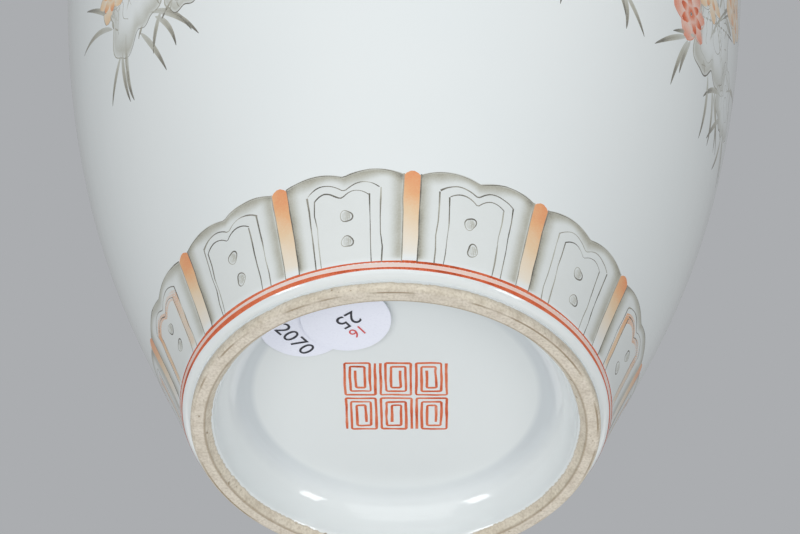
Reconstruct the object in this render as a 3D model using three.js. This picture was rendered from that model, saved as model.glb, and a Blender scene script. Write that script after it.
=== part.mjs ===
// Willow-leaf vase: a tall porcelain bottle thrown in sections, luted with slip and fired as one.
// Millimetres, +Z up. The origin is the middle of the foot, on the level it stands on.

import * as THREE from 'three';
import { mergeVertices } from 'three/addons/utils/BufferGeometryUtils.js';

// Whole outline, as outer radii and heights
const HEIGHT = 420;
const MOUTH_RADIUS = 60;
const NECK_RADIUS = 40;
const NECK_BELOW_MOUTH_HEIGHT = 54;
const BELLY_RADIUS = 96.6;
const BELLY_HEIGHT = 245;
const FOOT_RADIUS = 48.34;
const FOOT_HEIGHT = 4.6;

// How the outline leaves the foot and reaches the lip, in mm outward for each mm of rise
const FOOT_LEAN = 0.38;
const LIP_LEAN = 0.95;

// How far each curve holds its direction at its ends, as a share of the rise it spans
const FOOT_FULLNESS = 0.149;
const BELLY_FULLNESS = 0.687;
const SHOULDER_FULLNESS = 0.5;
const NECK_FULLNESS = 0.34;
const THROAT_FULLNESS = 0.34;
const LIP_FULLNESS = 0.45;

// Wall, measured square to the surface, and floor
const WALL_AT_FOOT = 5.5;
const WALL_AT_MOUTH = 4;
const FLOOR_THICKNESS = 7.5;
const FLOOR_CORNER_HEIGHT = 9;
const FLOOR_CORNER_WIDTH = 11;
const LIP_ROUNDING_HEIGHT = 2.4;

// Turned foot ring: bare clay from the inner edge to the outer edge, flat where it stands
const INNER_EDGE_RADIUS = 41.45;
const INNER_EDGE_HEIGHT = 1.9;
const REST_INNER_RADIUS = 42.9;
const REST_OUTER_RADIUS = 45.5;
const OUTER_BEVEL_WIDTH = 0.6;
const OUTER_EDGE_RADIUS = 46;
const OUTER_EDGE_HEIGHT = 3.1;
const GLAZE_ROLL_WIDTH = 0.35;

// Recess turned under the floor, with a hollow quarter round up to its flat ceiling
const RECESS_DEPTH = 11.5;
const RECESS_WALL_RADIUS = 41.1;
const RECESS_FLAT_RADIUS = 34.5;
const COVE_START_HEIGHT = 2.6;
const RING_SHARE_OF_RECESS = 0.65;

// Where the thrown sections meet: above the foot, under and over the belly, under the narrow neck
const LOWER_SEAM_HEIGHT = 106;
const SEAM_BELOW_BELLY_HEIGHT = 23;
const SEAM_ABOVE_BELLY_HEIGHT = 40;
const SEAM_BELOW_NECK_HEIGHT = 21;
const MOUTH_RIM_HEIGHT = 40;
const SLIP_THICKNESS = 1.2;
const SLIP_BEAD_WIDTH = 0.9;

// Two round paper labels stuck under the floor, one partly over the other
const LABEL_DIAMETER = 20;
const PAPER_THICKNESS = 0.25;
const LABEL_GAP = 0.28;
const FIRST_LABEL_X = -21.1;
const FIRST_LABEL_Y = -23.3;
const SECOND_LABEL_X = -11.4;
const SECOND_LABEL_Y = -26.1;

// Facets
const SIDES = 60;
const LABEL_SIDES = 28;
const LABEL_RINGS = 4;
const COVE_STEPS = 5;
const RING_COVE_STEPS = 3;
const CORNER_STEPS = 4;
const RIM_STEPS = 5;
const LIP_STEPS = 6;
const SLOPE_STEP = 0.01;
const BISECTIONS = 48;
const WELD_DISTANCE = 1e-4;

const porcelain = new THREE.MeshStandardMaterial({ color: 0xe6ecee, roughness: 0.12, metalness: 0 });
const biscuit = new THREE.MeshStandardMaterial({ color: 0xd2c8b6, roughness: 0.9, metalness: 0 });
const slip = new THREE.MeshStandardMaterial({ color: 0xdfe2dd, roughness: 0.7, metalness: 0 });
const paper = new THREE.MeshStandardMaterial({ color: 0xe4e7f6, roughness: 0.8, metalness: 0 });

const floorTop = RECESS_DEPTH + FLOOR_THICKNESS;
const floorJoint = floorTop + FLOOR_CORNER_HEIGHT;
const coveDepth = RECESS_DEPTH - COVE_START_HEIGHT;
const coveRun = RECESS_WALL_RADIUS - RECESS_FLAT_RADIUS;
const ringJoint = COVE_START_HEIGHT + coveDepth * RING_SHARE_OF_RECESS;
const lipStart = HEIGHT - LIP_ROUNDING_HEIGHT;
const neckHeight = HEIGHT - NECK_BELOW_MOUTH_HEIGHT;
const bellySeam = BELLY_HEIGHT - SEAM_BELOW_BELLY_HEIGHT;
const shoulderSeam = BELLY_HEIGHT + SEAM_ABOVE_BELLY_HEIGHT;
const neckSeam = neckHeight - SEAM_BELOW_NECK_HEIGHT;
const rimJoint = HEIGHT - MOUTH_RIM_HEIGHT;

// The outline in the plane of radius and height: foot to belly, belly to neck, neck to lip
function bodyCurve() {
  const rise = BELLY_HEIGHT - FOOT_HEIGHT;
  const hold = rise * FOOT_FULLNESS;
  return new THREE.CubicBezierCurve(
    new THREE.Vector2(FOOT_RADIUS, FOOT_HEIGHT),
    new THREE.Vector2(FOOT_RADIUS + hold * FOOT_LEAN, FOOT_HEIGHT + hold),
    new THREE.Vector2(BELLY_RADIUS, BELLY_HEIGHT - rise * BELLY_FULLNESS),
    new THREE.Vector2(BELLY_RADIUS, BELLY_HEIGHT),
  );
}

function shoulderCurve() {
  const rise = neckHeight - BELLY_HEIGHT;
  return new THREE.CubicBezierCurve(
    new THREE.Vector2(BELLY_RADIUS, BELLY_HEIGHT),
    new THREE.Vector2(BELLY_RADIUS, BELLY_HEIGHT + rise * SHOULDER_FULLNESS),
    new THREE.Vector2(NECK_RADIUS, neckHeight - rise * NECK_FULLNESS),
    new THREE.Vector2(NECK_RADIUS, neckHeight),
  );
}

function throatCurve() {
  const rise = lipStart - neckHeight;
  const hold = rise * LIP_FULLNESS;
  return new THREE.CubicBezierCurve(
    new THREE.Vector2(NECK_RADIUS, neckHeight),
    new THREE.Vector2(NECK_RADIUS, neckHeight + rise * THROAT_FULLNESS),
    new THREE.Vector2(MOUTH_RADIUS - hold * LIP_LEAN, lipStart - hold),
    new THREE.Vector2(MOUTH_RADIUS, lipStart),
  );
}

const body = bodyCurve();
const shoulder = shoulderCurve();
const throat = throatCurve();

// Radius of a rising curve at a height, found by halving
function radiusOn(curve, height) {
  let low = 0;
  let high = 1;
  for (let step = 0; step < BISECTIONS; step += 1) {
    const middle = (low + high) / 2;
    if (curve.getPoint(middle).y < height) {
      low = middle;
    } else {
      high = middle;
    }
  }
  return curve.getPoint((low + high) / 2).x;
}

function outerRadius(height) {
  if (height < BELLY_HEIGHT) {
    return radiusOn(body, height);
  }
  if (height < neckHeight) {
    return radiusOn(shoulder, height);
  }
  return radiusOn(throat, height);
}

function innerRadius(height) {
  const below = Math.max(height - SLOPE_STEP, FOOT_HEIGHT);
  const above = Math.min(height + SLOPE_STEP, lipStart);
  const slope = (outerRadius(above) - outerRadius(below)) / (above - below);
  const wall = THREE.MathUtils.lerp(WALL_AT_FOOT, WALL_AT_MOUTH, height / HEIGHT);
  return outerRadius(height) - wall * Math.hypot(1, slope);
}

// Place under the floor, where paper laid flat from the axis outwards bends down into the cove
function underFloor(along, depth) {
  const bend = Math.max(0, along - RECESS_FLAT_RADIUS) / ((coveRun + coveDepth) / 2);
  if (bend === 0) {
    return [along, RECESS_DEPTH - depth];
  }
  const leanOut = Math.sin(bend) / coveRun;
  const leanUp = Math.cos(bend) / coveDepth;
  const lean = Math.hypot(leanOut, leanUp);
  return [
    RECESS_FLAT_RADIUS + coveRun * Math.sin(bend) - (depth * leanOut) / lean,
    COVE_START_HEIGHT + coveDepth * Math.cos(bend) - (depth * leanUp) / lean,
  ];
}

// Points of the cove between two heights, from the lower to the higher
function covePoints(lowHeight, highHeight, steps) {
  const from = Math.asin((lowHeight - COVE_START_HEIGHT) / coveDepth);
  const to = Math.asin((highHeight - COVE_START_HEIGHT) / coveDepth);
  const points = [];
  for (let step = 0; step <= steps; step += 1) {
    const angle = THREE.MathUtils.lerp(from, to, step / steps);
    const radius = RECESS_FLAT_RADIUS + coveRun * Math.cos(angle);
    points.push([radius, COVE_START_HEIGHT + coveDepth * Math.sin(angle)]);
  }
  return points;
}

// Rows of a wall between two heights, from the lower to the higher
function wallRows(radiusAt, lowHeight, highHeight, steps) {
  const rows = [];
  for (let step = 0; step <= steps; step += 1) {
    const height = THREE.MathUtils.lerp(lowHeight, highHeight, step / steps);
    rows.push([radiusAt(height), height]);
  }
  return rows;
}

// Turn an outline of [radius, height] points about the vase's axis
function turn(outline, sides = SIDES) {
  const points = outline.map(([radius, height]) => new THREE.Vector2(radius, height));
  const turned = new THREE.LatheGeometry(points, sides);
  turned.deleteAttribute('normal');
  turned.deleteAttribute('uv');
  turned.rotateX(Math.PI / 2);
  return turned;
}

function finished(name, geometry, material) {
  const whole = mergeVertices(geometry, WELD_DISTANCE);
  whole.computeVertexNormals();
  const mesh = new THREE.Mesh(whole, material);
  mesh.name = name;
  return mesh;
}

// Ring that the vase stands on, up to where the floor begins
function footRing() {
  const outline = [
    [INNER_EDGE_RADIUS, INNER_EDGE_HEIGHT],
    [REST_INNER_RADIUS, 0],
    [REST_OUTER_RADIUS, 0],
    [REST_OUTER_RADIUS + OUTER_BEVEL_WIDTH, OUTER_BEVEL_WIDTH],
    [OUTER_EDGE_RADIUS, OUTER_EDGE_HEIGHT],
    [
      (OUTER_EDGE_RADIUS + FOOT_RADIUS) / 2 + GLAZE_ROLL_WIDTH,
      (OUTER_EDGE_HEIGHT + FOOT_HEIGHT) / 2 - GLAZE_ROLL_WIDTH,
    ],
    ...wallRows(outerRadius, FOOT_HEIGHT, ringJoint, 1),
    ...covePoints(COVE_START_HEIGHT, ringJoint, RING_COVE_STEPS).reverse(),
    [INNER_EDGE_RADIUS, INNER_EDGE_HEIGHT],
  ];
  return finished('foot_ring', turn(outline), biscuit);
}

// Thick floor with the recess under it and a rounded corner inside
function baseFloor() {
  const wallRadius = innerRadius(floorJoint);
  const cornerRadius = wallRadius - FLOOR_CORNER_WIDTH;
  const corner = [];
  for (let step = 0; step < CORNER_STEPS; step += 1) {
    const angle = (Math.PI / 2) * (step / CORNER_STEPS);
    corner.push([
      cornerRadius + FLOOR_CORNER_WIDTH * Math.cos(angle),
      floorJoint - FLOOR_CORNER_HEIGHT * Math.sin(angle),
    ]);
  }
  const outline = [
    [0, RECESS_DEPTH],
    ...covePoints(ringJoint, RECESS_DEPTH, COVE_STEPS).reverse(),
    ...wallRows(outerRadius, ringJoint, floorJoint, 3),
    ...corner,
    [cornerRadius, floorTop],
    [0, floorTop],
  ];
  return finished('base_floor', turn(outline), porcelain);
}

// One thrown section of wall, cut square at both ends
function section(name, lowHeight, highHeight, steps) {
  const outer = wallRows(outerRadius, lowHeight, highHeight, steps);
  const inner = wallRows(innerRadius, lowHeight, highHeight, steps).reverse();
  return finished(name, turn([...outer, ...inner, outer[0]]), porcelain);
}

// Flared rim with a rounded lip
function mouthRim() {
  const outer = wallRows(outerRadius, rimJoint, lipStart, RIM_STEPS);
  const inner = wallRows(innerRadius, rimJoint, lipStart, RIM_STEPS).reverse();
  const halfLip = (outerRadius(lipStart) - innerRadius(lipStart)) / 2;
  const middle = outerRadius(lipStart) - halfLip;
  const lip = [];
  for (let step = 1; step < LIP_STEPS; step += 1) {
    const angle = Math.PI * (step / LIP_STEPS);
    lip.push([middle + halfLip * Math.cos(angle), lipStart + LIP_ROUNDING_HEIGHT * Math.sin(angle)]);
  }
  return finished('mouth_rim', turn([...outer, ...lip, ...inner, outer[0]]), porcelain);
}

// Band of slip between two sections, squeezed out to a bead inside
function slipSeam(name, height) {
  const low = height - SLIP_THICKNESS / 2;
  const high = height + SLIP_THICKNESS / 2;
  const outline = [
    [outerRadius(low), low],
    [outerRadius(high), high],
    [innerRadius(high), high],
    [innerRadius(height) - SLIP_BEAD_WIDTH, height],
    [innerRadius(low), low],
    [outerRadius(low), low],
  ];
  return finished(name, turn(outline), slip);
}

// Thin paper disc stuck under the floor, bent with the cove and a small gap clear of the glaze
function paperLabel(name, centreX, centreY, gap) {
  const radius = LABEL_DIAMETER / 2;
  const rims = Array.from({ length: LABEL_RINGS + 1 }, (_, ring) => (radius * ring) / LABEL_RINGS);
  const outline = [
    ...rims.map((rim) => [rim, -PAPER_THICKNESS]),
    ...rims.toReversed().map((rim) => [rim, 0]),
  ];
  const disc = turn(outline, LABEL_SIDES);
  const places = disc.getAttribute('position');
  for (let index = 0; index < places.count; index += 1) {
    const x = places.getX(index) + centreX;
    const y = places.getY(index) + centreY;
    const along = Math.hypot(x, y);
    const [reach, height] = underFloor(along, gap - places.getZ(index));
    places.setXYZ(index, (x * reach) / along, (y * reach) / along, height);
  }
  return finished(name, disc, paper);
}

const halfSlip = SLIP_THICKNESS / 2;
const secondGap = LABEL_GAP + PAPER_THICKNESS + LABEL_GAP;

const vase = new THREE.Group();
vase.add(footRing());
vase.add(baseFloor());
vase.add(section('lower_body', floorJoint, LOWER_SEAM_HEIGHT - halfSlip, 5));
vase.add(slipSeam('lower_slip_seam', LOWER_SEAM_HEIGHT));
vase.add(section('middle_body', LOWER_SEAM_HEIGHT + halfSlip, bellySeam - halfSlip, 4));
vase.add(slipSeam('belly_slip_seam', bellySeam));
vase.add(section('upper_body', bellySeam + halfSlip, shoulderSeam - halfSlip, 4));
vase.add(slipSeam('shoulder_slip_seam', shoulderSeam));
vase.add(section('shoulder', shoulderSeam + halfSlip, neckSeam - halfSlip, 5));
vase.add(slipSeam('neck_slip_seam', neckSeam));
vase.add(section('neck', neckSeam + halfSlip, rimJoint, 4));
vase.add(mouthRim());
vase.add(paperLabel('first_paper_label', FIRST_LABEL_X, FIRST_LABEL_Y, LABEL_GAP));
vase.add(paperLabel('second_paper_label', SECOND_LABEL_X, SECOND_LABEL_Y, secondGap));

export default vase;
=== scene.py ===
# %% [markdown]
# A willow-leaf vase, dressed in its glaze and painting
#
# The vase is thrown in porcelain clay in short sections. The potter lutes them together with slip,
# turns them thin, glazes them and fires them as one body. A painter then works over the glaze in
# grey, iron red and orange, and a second, cooler firing melts those enamels onto it.
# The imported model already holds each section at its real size. This lesson gives every section a fine
# surface, a glaze, and the painting that lies on it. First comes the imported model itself.

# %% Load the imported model
import math
from functools import partial

import bpy
import numpy as np
from mathutils import Matrix, Vector


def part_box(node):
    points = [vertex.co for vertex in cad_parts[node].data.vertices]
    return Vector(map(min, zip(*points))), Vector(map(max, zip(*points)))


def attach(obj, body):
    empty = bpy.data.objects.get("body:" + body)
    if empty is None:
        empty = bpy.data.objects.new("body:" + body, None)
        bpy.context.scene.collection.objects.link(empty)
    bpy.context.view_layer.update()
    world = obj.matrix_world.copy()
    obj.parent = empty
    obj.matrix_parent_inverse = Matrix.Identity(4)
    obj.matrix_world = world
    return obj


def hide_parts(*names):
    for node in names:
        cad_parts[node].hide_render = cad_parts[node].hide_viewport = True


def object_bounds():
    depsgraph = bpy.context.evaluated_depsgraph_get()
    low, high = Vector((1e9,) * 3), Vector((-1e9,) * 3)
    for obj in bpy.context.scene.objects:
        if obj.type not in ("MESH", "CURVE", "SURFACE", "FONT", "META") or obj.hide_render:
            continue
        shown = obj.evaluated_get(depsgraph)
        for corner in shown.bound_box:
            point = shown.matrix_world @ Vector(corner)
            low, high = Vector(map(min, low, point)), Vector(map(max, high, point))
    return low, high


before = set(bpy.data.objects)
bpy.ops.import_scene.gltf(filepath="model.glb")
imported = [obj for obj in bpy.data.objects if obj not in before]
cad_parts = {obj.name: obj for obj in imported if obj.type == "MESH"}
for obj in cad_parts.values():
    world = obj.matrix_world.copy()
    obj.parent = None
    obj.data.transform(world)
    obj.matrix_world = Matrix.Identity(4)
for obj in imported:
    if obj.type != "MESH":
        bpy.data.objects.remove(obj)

cad_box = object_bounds()
MM = 0.001
print("nodes:", sorted(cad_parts))

# %% [markdown]
# Real sizes
#
# Everything is measured in millimetres and turned to metres at the last moment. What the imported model
# can tell is read from it: the height, the widest and the mouth radius, and where sections meet.
# The rest are the turner's own numbers: where the outline is widest and narrowest, how it leaves the
# foot, and how thick the wall is.

# %% Name the sizes
HEIGHT = cad_box[1].z / MM
BELLY_RADIUS = cad_box[1].x / MM
MOUTH_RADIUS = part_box("mouth_rim")[1].x / MM
BELLY_HEIGHT = 245.0
NECK_RADIUS = 40.0
NECK_HEIGHT = HEIGHT - 54.0
FOOT_RADIUS = 48.34
FOOT_HEIGHT = 4.6
FOOT_LEAN = 0.38
LIP_LEAN = 0.95
WALL_AT_FOOT = 5.5
WALL_AT_MOUTH = 4.0
LIP_ROUNDING = 2.4
LIP_START = HEIGHT - LIP_ROUNDING

REST_INNER_RADIUS = 42.9
REST_OUTER_RADIUS = 45.5
INNER_EDGE = (41.45, 1.9)
OUTER_EDGE = (46.0, 3.1)
OUTER_BEVEL = 0.6

RECESS_DEPTH = 11.5
RECESS_FLAT_RADIUS = 34.5
RECESS_WALL_RADIUS = 41.1
COVE_START = 2.6
RING_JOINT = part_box("foot_ring")[1].z / MM
FLOOR_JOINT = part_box("base_floor")[1].z / MM
FLOOR_TOP = RECESS_DEPTH + 7.5
FLOOR_CORNER_WIDTH = 11.0
print(f"height {HEIGHT:.1f} mm, widest radius {BELLY_RADIUS:.2f} mm, mouth radius {MOUTH_RADIUS:.1f} mm")

# %% [markdown]
# The outline
#
# A turner's template gives the outside of the vase: a soft roll of glaze above the foot, one long
# swelling curve to the belly, a falling curve to the neck and a flaring one to the lip.
# It could be drawn by eye with many points, but four Bezier curves hold it with a handful of sizes,
# and they are sampled finely once, so that any height gives its radius.

# %% Draw the outline
CURVE_SAMPLES = 1200


def bezier(start, first, second, end):
    """Points along one Bezier curve of radius and height."""
    step = np.linspace(0, 1, CURVE_SAMPLES)[:, None]
    corners = [np.array(corner, float) for corner in (start, first, second, end)]
    weights = [(1 - step) ** 3, 3 * step * (1 - step) ** 2, 3 * step**2 * (1 - step), step**3]
    return sum(weight * corner for weight, corner in zip(weights, corners))


def upright(radius, height, lean, rise):
    """The handle point that lies on the tangent of the outline, rise above a station."""
    return (radius + rise * lean, height + rise)


def stretch(low, high, up, down):
    """The curve between two stations, with handles that reach these shares of the way."""
    way = high[1] - low[1]
    return bezier(low[:2], upright(*low, up * way), upright(*high, -down * way), high[:2])


# The stations of the outline: radius, height and lean.
FOOT = (FOOT_RADIUS, FOOT_HEIGHT, FOOT_LEAN)
BELLY = (BELLY_RADIUS, BELLY_HEIGHT, 0.0)
NECK = (NECK_RADIUS, NECK_HEIGHT, 0.0)
LIP = (MOUTH_RADIUS, LIP_START, LIP_LEAN)

roll_handle = (OUTER_EDGE[0] + 1.4, OUTER_EDGE[1] + 0.05)
curves = [
    bezier(OUTER_EDGE, roll_handle, upright(*FOOT, -0.7), FOOT[:2]),
    stretch(FOOT, BELLY, 0.149, 0.687),
    stretch(BELLY, NECK, 0.5, 0.34),
    stretch(NECK, LIP, 0.34, 0.45),
]
template = np.vstack([curve[:-1] for curve in curves] + [curves[-1][-1:]])
template_lean = np.gradient(template[:, 0], template[:, 1])


def outer(height):
    return np.interp(height, template[:, 1], template[:, 0])


def lean_at(height):
    return np.interp(height, template[:, 1], template_lean)


def inner(height):
    wall = WALL_AT_FOOT + (WALL_AT_MOUTH - WALL_AT_FOOT) * height / HEIGHT
    return outer(height) - wall * np.hypot(1, lean_at(height))


print(f"outside radius at 100 mm: {outer(100.0):.2f} mm, inside {inner(100.0):.2f} mm")

# %% [markdown]
# Turning a piece
#
# On the wheel a template sweeps round the axis. In Blender a circle of points is laid onto the
# template and swept by the spin tool, which gives evenly spaced sides. A Screw modifier would do the
# same, but the spin leaves a plain mesh at once. The ring's last copy lands on its first, so doubles
# are merged, and the normals are made to point out of the clay.

# %% Spin an outline
SIDES = 256
SHARP_ANGLE = math.radians(38)
WELD = 1e-6


def select_only(*pieces):
    bpy.ops.object.select_all(action="DESELECT")
    for piece in pieces:
        piece.select_set(True)
        bpy.context.view_layer.objects.active = piece


def face_outwards(piece, weld=False):
    """Turn all faces outwards, after merging doubles where that is asked for."""
    select_only(piece)
    bpy.ops.object.mode_set(mode="EDIT")
    bpy.ops.mesh.select_all(action="SELECT")
    if weld:
        bpy.ops.mesh.remove_doubles(threshold=WELD)
    bpy.ops.mesh.normals_make_consistent(inside=False)
    bpy.ops.object.mode_set(mode="OBJECT")


def turned(name, outline, on_axis=False, sides=SIDES):
    """Sweep a closed outline of radius and height about the vase's axis."""
    select_only()
    bpy.ops.mesh.primitive_circle_add(vertices=len(outline), radius=MM, fill_type="NOTHING")
    piece = bpy.context.object
    piece.name = piece.data.name = name
    for vertex, (radius, height) in zip(piece.data.vertices, outline):
        vertex.co = (radius * MM, 0, height * MM)
    bpy.ops.object.mode_set(mode="EDIT")
    if on_axis:
        bpy.ops.mesh.select_all(action="DESELECT")
        bpy.ops.object.mode_set(mode="OBJECT")
        for edge in piece.data.edges:
            edge.select = all(abs(piece.data.vertices[end].co.x) < WELD for end in edge.vertices)
        bpy.ops.object.mode_set(mode="EDIT")
        bpy.ops.mesh.select_mode(type="EDGE")
        bpy.ops.mesh.delete(type="EDGE")
    bpy.ops.mesh.select_mode(type="VERT")
    bpy.ops.mesh.select_all(action="SELECT")
    bpy.ops.mesh.spin(steps=sides, angle=math.tau, center=(0, 0, 0), axis=(0, 0, 1))
    bpy.ops.object.mode_set(mode="OBJECT")
    face_outwards(piece, weld=True)
    bpy.ops.object.shade_smooth_by_angle(angle=SHARP_ANGLE)
    print(f"{name}: {len(piece.data.polygons)} faces")
    return piece


print(f"template of {len(template)} points, {SIDES} sides to a turn")

# %% [markdown]
# Rows of a wall
#
# A section is a ring of clay with flat ends, where slip joins it to the next. On the fired vase the
# glaze runs over these joints without a mark, so the surface must not crease there. Blender smooths a
# surface over the faces it knows, and at a joint it knows only one side. A last row set very close
# to the joint keeps the tangent right, so light runs on from section to section.

# %% Place the rows
ROW_STEP = 1.7
JOINT_ROW = 0.12


def rows(low, high):
    count = max(1, round((high - low - 2 * JOINT_ROW) / ROW_STEP))
    middle = np.linspace(low + JOINT_ROW, high - JOINT_ROW, count + 1)
    return np.concatenate([[low], middle, [high]])


def wall_points(surface, heights):
    return [(float(surface(height)), float(height)) for height in heights]


def wall_outline(low, high):
    heights = rows(low, high)
    return wall_points(outer, heights) + wall_points(inner, heights[::-1])


def arc(centre, reach, rise, start, end, steps):
    """Points along a stretch of an ellipse, with its angles in degrees."""
    angles = np.radians(np.linspace(start, end, steps + 1))
    return [(centre[0] + reach * math.cos(a), centre[1] + rise * math.sin(a)) for a in angles]


print("rows of a section 50 mm tall:", len(rows(0, 50)))

# %% [markdown]
# The wall
#
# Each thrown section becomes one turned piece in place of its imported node. A single wall from foot to
# lip would look the same, but the real one is made of these sections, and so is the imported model.

# %% Turn the wall
SECTIONS = ["lower_body", "middle_body", "upper_body", "shoulder", "neck"]
wall_pieces = []


def height_span(node):
    low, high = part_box(node)
    return low.z / MM, high.z / MM


def stand_for(piece, node):
    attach(piece, "root")
    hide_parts(node)


for node_name in SECTIONS:
    low, high = height_span(node_name)
    piece = turned("glazed_" + node_name, wall_outline(low, high))
    stand_for(piece, node_name)
    wall_pieces.append(piece)

# %% [markdown]
# The slip seams
#
# Slip is the same clay, stirred to a cream, that glues two sections. What is left of it is a thin ring,
# flush outside and squeezed out to a bead inside. Half an ellipse of points gives the bead.

# %% Turn the seams
SEAMS = ["lower_slip_seam", "belly_slip_seam", "shoulder_slip_seam", "neck_slip_seam"]
SLIP_BEAD = 0.9

for node_name in SEAMS:
    low, high = height_span(node_name)
    outside = wall_points(outer, np.linspace(low, high, 4))
    middle = ((float(inner(low)) + float(inner(high))) / 2, (low + high) / 2)
    bead = arc(middle, SLIP_BEAD, (high - low) / 2, 90, 270, 6)
    piece = turned("glazed_" + node_name, outside + bead)
    stand_for(piece, node_name)
    wall_pieces.append(piece)

# %% [markdown]
# The mouth
#
# The mouth flares out and ends in a rounded lip, which a sponge gives the wet clay. Half an ellipse from
# the outside of the wall to the inside does it, where a bevel would flatten the middle.

# %% Turn the mouth and its lip
low, high = height_span("mouth_rim")
rim_heights = rows(low, LIP_START)[:-1]
half_lip = float(outer(LIP_START) - inner(LIP_START)) / 2
lip = arc((float(outer(LIP_START)) - half_lip, LIP_START), half_lip, LIP_ROUNDING, 0, 180, 14)
rim_outline = wall_points(outer, rim_heights) + lip + wall_points(inner, rim_heights[::-1])
mouth = turned("glazed_mouth_rim", rim_outline)
stand_for(mouth, "mouth_rim")
wall_pieces.append(mouth)

# %% [markdown]
# The foot and the recess under it
#
# The turner trims the foot last, upside down on the wheel. The ring is flat where it stands, bevelled
# on both edges and wiped bare of glaze, so that it does not stick to the kiln shelf. Glaze ends in a
# soft roll on either side of the bare clay. Inside the ring the floor is cut back to a flat ceiling,
# with a hollow quarter round, the cove, between the two.

# %% Turn the foot ring
EDGE_ROUND = 0.18
cove_centre = (RECESS_FLAT_RADIUS, COVE_START)
cove_reach = RECESS_WALL_RADIUS - RECESS_FLAT_RADIUS
cove_rise = RECESS_DEPTH - COVE_START
joint_angle = math.degrees(math.asin((RING_JOINT - COVE_START) / cove_rise))

ring_cove = arc(cove_centre, cove_reach, cove_rise, joint_angle, 0, 10)
inner_roll = [
    (RECESS_WALL_RADIUS + 0.02, COVE_START - 0.25),
    (RECESS_WALL_RADIUS + 0.14, COVE_START - 0.5),
    INNER_EDGE,
]
inner_bevel = [
    (REST_INNER_RADIUS - 1.0, 1.27),
    (REST_INNER_RADIUS - 0.5, 0.62),
    (REST_INNER_RADIUS - EDGE_ROUND, 0.2),
    (REST_INNER_RADIUS - EDGE_ROUND / 3, 0.04),
    (REST_INNER_RADIUS + EDGE_ROUND, 0),
]
standing_flat = [(radius, 0) for radius in np.linspace(REST_INNER_RADIUS + 0.5, REST_OUTER_RADIUS - 0.5, 5)]
outer_bevel = [
    (REST_OUTER_RADIUS - EDGE_ROUND, 0),
    (REST_OUTER_RADIUS + EDGE_ROUND / 2, 0.06),
    (REST_OUTER_RADIUS + OUTER_BEVEL * 0.6, OUTER_BEVEL * 0.5),
    (REST_OUTER_RADIUS + OUTER_BEVEL * 0.95, OUTER_BEVEL),
    (REST_OUTER_RADIUS + OUTER_BEVEL, OUTER_BEVEL * 1.6),
    (OUTER_EDGE[0] + 0.06, OUTER_EDGE[1] * 0.6),
    (OUTER_EDGE[0] + 0.02, OUTER_EDGE[1] - 0.3),
]
roll_heights = [3.1, 3.14, 3.2, 3.3, 3.45, 3.65, 3.9, 4.2, 4.5]
ring_outside = wall_points(outer, [*roll_heights, *rows(FOOT_HEIGHT, RING_JOINT)])
foot_outline = ring_cove + inner_roll + inner_bevel + standing_flat + outer_bevel + ring_outside
foot_ring = turned("turned_foot_ring", foot_outline)
stand_for(foot_ring, "foot_ring")

# %% [markdown]
# The floor of the vase
#
# The floor closes the vase above the recess, and inside it meets the wall in a wide round corner that
# the thrower's knuckle leaves. Its outline starts and ends on the axis, so it is turned like the wall.

# %% Turn the floor of the vase
FLAT_ROWS = 12
corner_radius = float(inner(FLOOR_JOINT)) - FLOOR_CORNER_WIDTH
ceiling = [(float(r), RECESS_DEPTH) for r in np.linspace(0, RECESS_FLAT_RADIUS, FLAT_ROWS)[:-1]]
floor_cove = arc(cove_centre, cove_reach, cove_rise, 90, joint_angle, 22)
floor_outside = wall_points(outer, rows(RING_JOINT, FLOOR_JOINT))
corner = arc((corner_radius, FLOOR_JOINT), FLOOR_CORNER_WIDTH, FLOOR_TOP - FLOOR_JOINT, 0, 90, 12)
inside_floor = [(float(r), FLOOR_TOP) for r in np.linspace(corner_radius, 0, FLAT_ROWS)[1:]]
floor_outline = ceiling + floor_cove + floor_outside + corner + inside_floor
vase_floor = turned("glazed_base_floor", floor_outline, on_axis=True)
stand_for(vase_floor, "base_floor")

# %% [markdown]
# Colours and nodes
#
# A painter names a colour by eye, as a screen shows it, so every colour here is a hex value that one
# function turns to the linear light that Blender computes with. One more function adds a shader node,
# sets it and links it, and all materials below are written with it. The size of every pattern is a size
# on the vase, in mm.

# %% Write helpers for materials


def linear(hex_colour):
    """An sRGB hex colour as linear RGBA."""
    channels = [int(hex_colour[place : place + 2], 16) / 255 for place in (1, 3, 5)]
    return (*[c / 12.92 if c <= 0.04045 else ((c + 0.055) / 1.055) ** 2.4 for c in channels], 1.0)


def add_node(tree, kind, inputs=(), out=0, stops=(), **settings):
    """Add a node, set it, give its inputs values or links, and return one of its outputs."""
    made = tree.nodes.new("ShaderNode" + kind)
    for name, value in settings.items():
        setattr(made, name, value)
    given = inputs if isinstance(inputs, dict) else dict(enumerate(inputs))
    for name, value in given.items():
        if isinstance(value, bpy.types.NodeSocket):
            tree.links.new(value, made.inputs[name])
        else:
            made.inputs[name].default_value = linear(value) if isinstance(value, str) else value
    for place, (position, colour) in enumerate(stops):
        if place >= len(made.color_ramp.elements):
            made.color_ramp.elements.new(position)
        made.color_ramp.elements[place].position = position
        made.color_ramp.elements[place].color = linear(colour)
    return made.outputs[out] if len(made.outputs) else made


def new_material(name):
    """An empty material, and the function above set to its node tree."""
    material = bpy.data.materials.new(name)
    material.use_nodes = True
    material.node_tree.nodes.clear()
    return material, partial(add_node, material.node_tree)


def grains(place, size, detail):
    """Inputs of a noise with grains of a size in mm."""
    return {"Vector": place, "Scale": 1 / (size * MM), "Detail": detail}


# A Mix node keeps the inputs and the output for colours at these places.
MIX_A, MIX_B = 6, 7
COLOURS = {"out": 2, "data_type": "RGBA"}
print("white of the glaze, linear:", [round(value, 3) for value in linear("#E6EAEA")])

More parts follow.
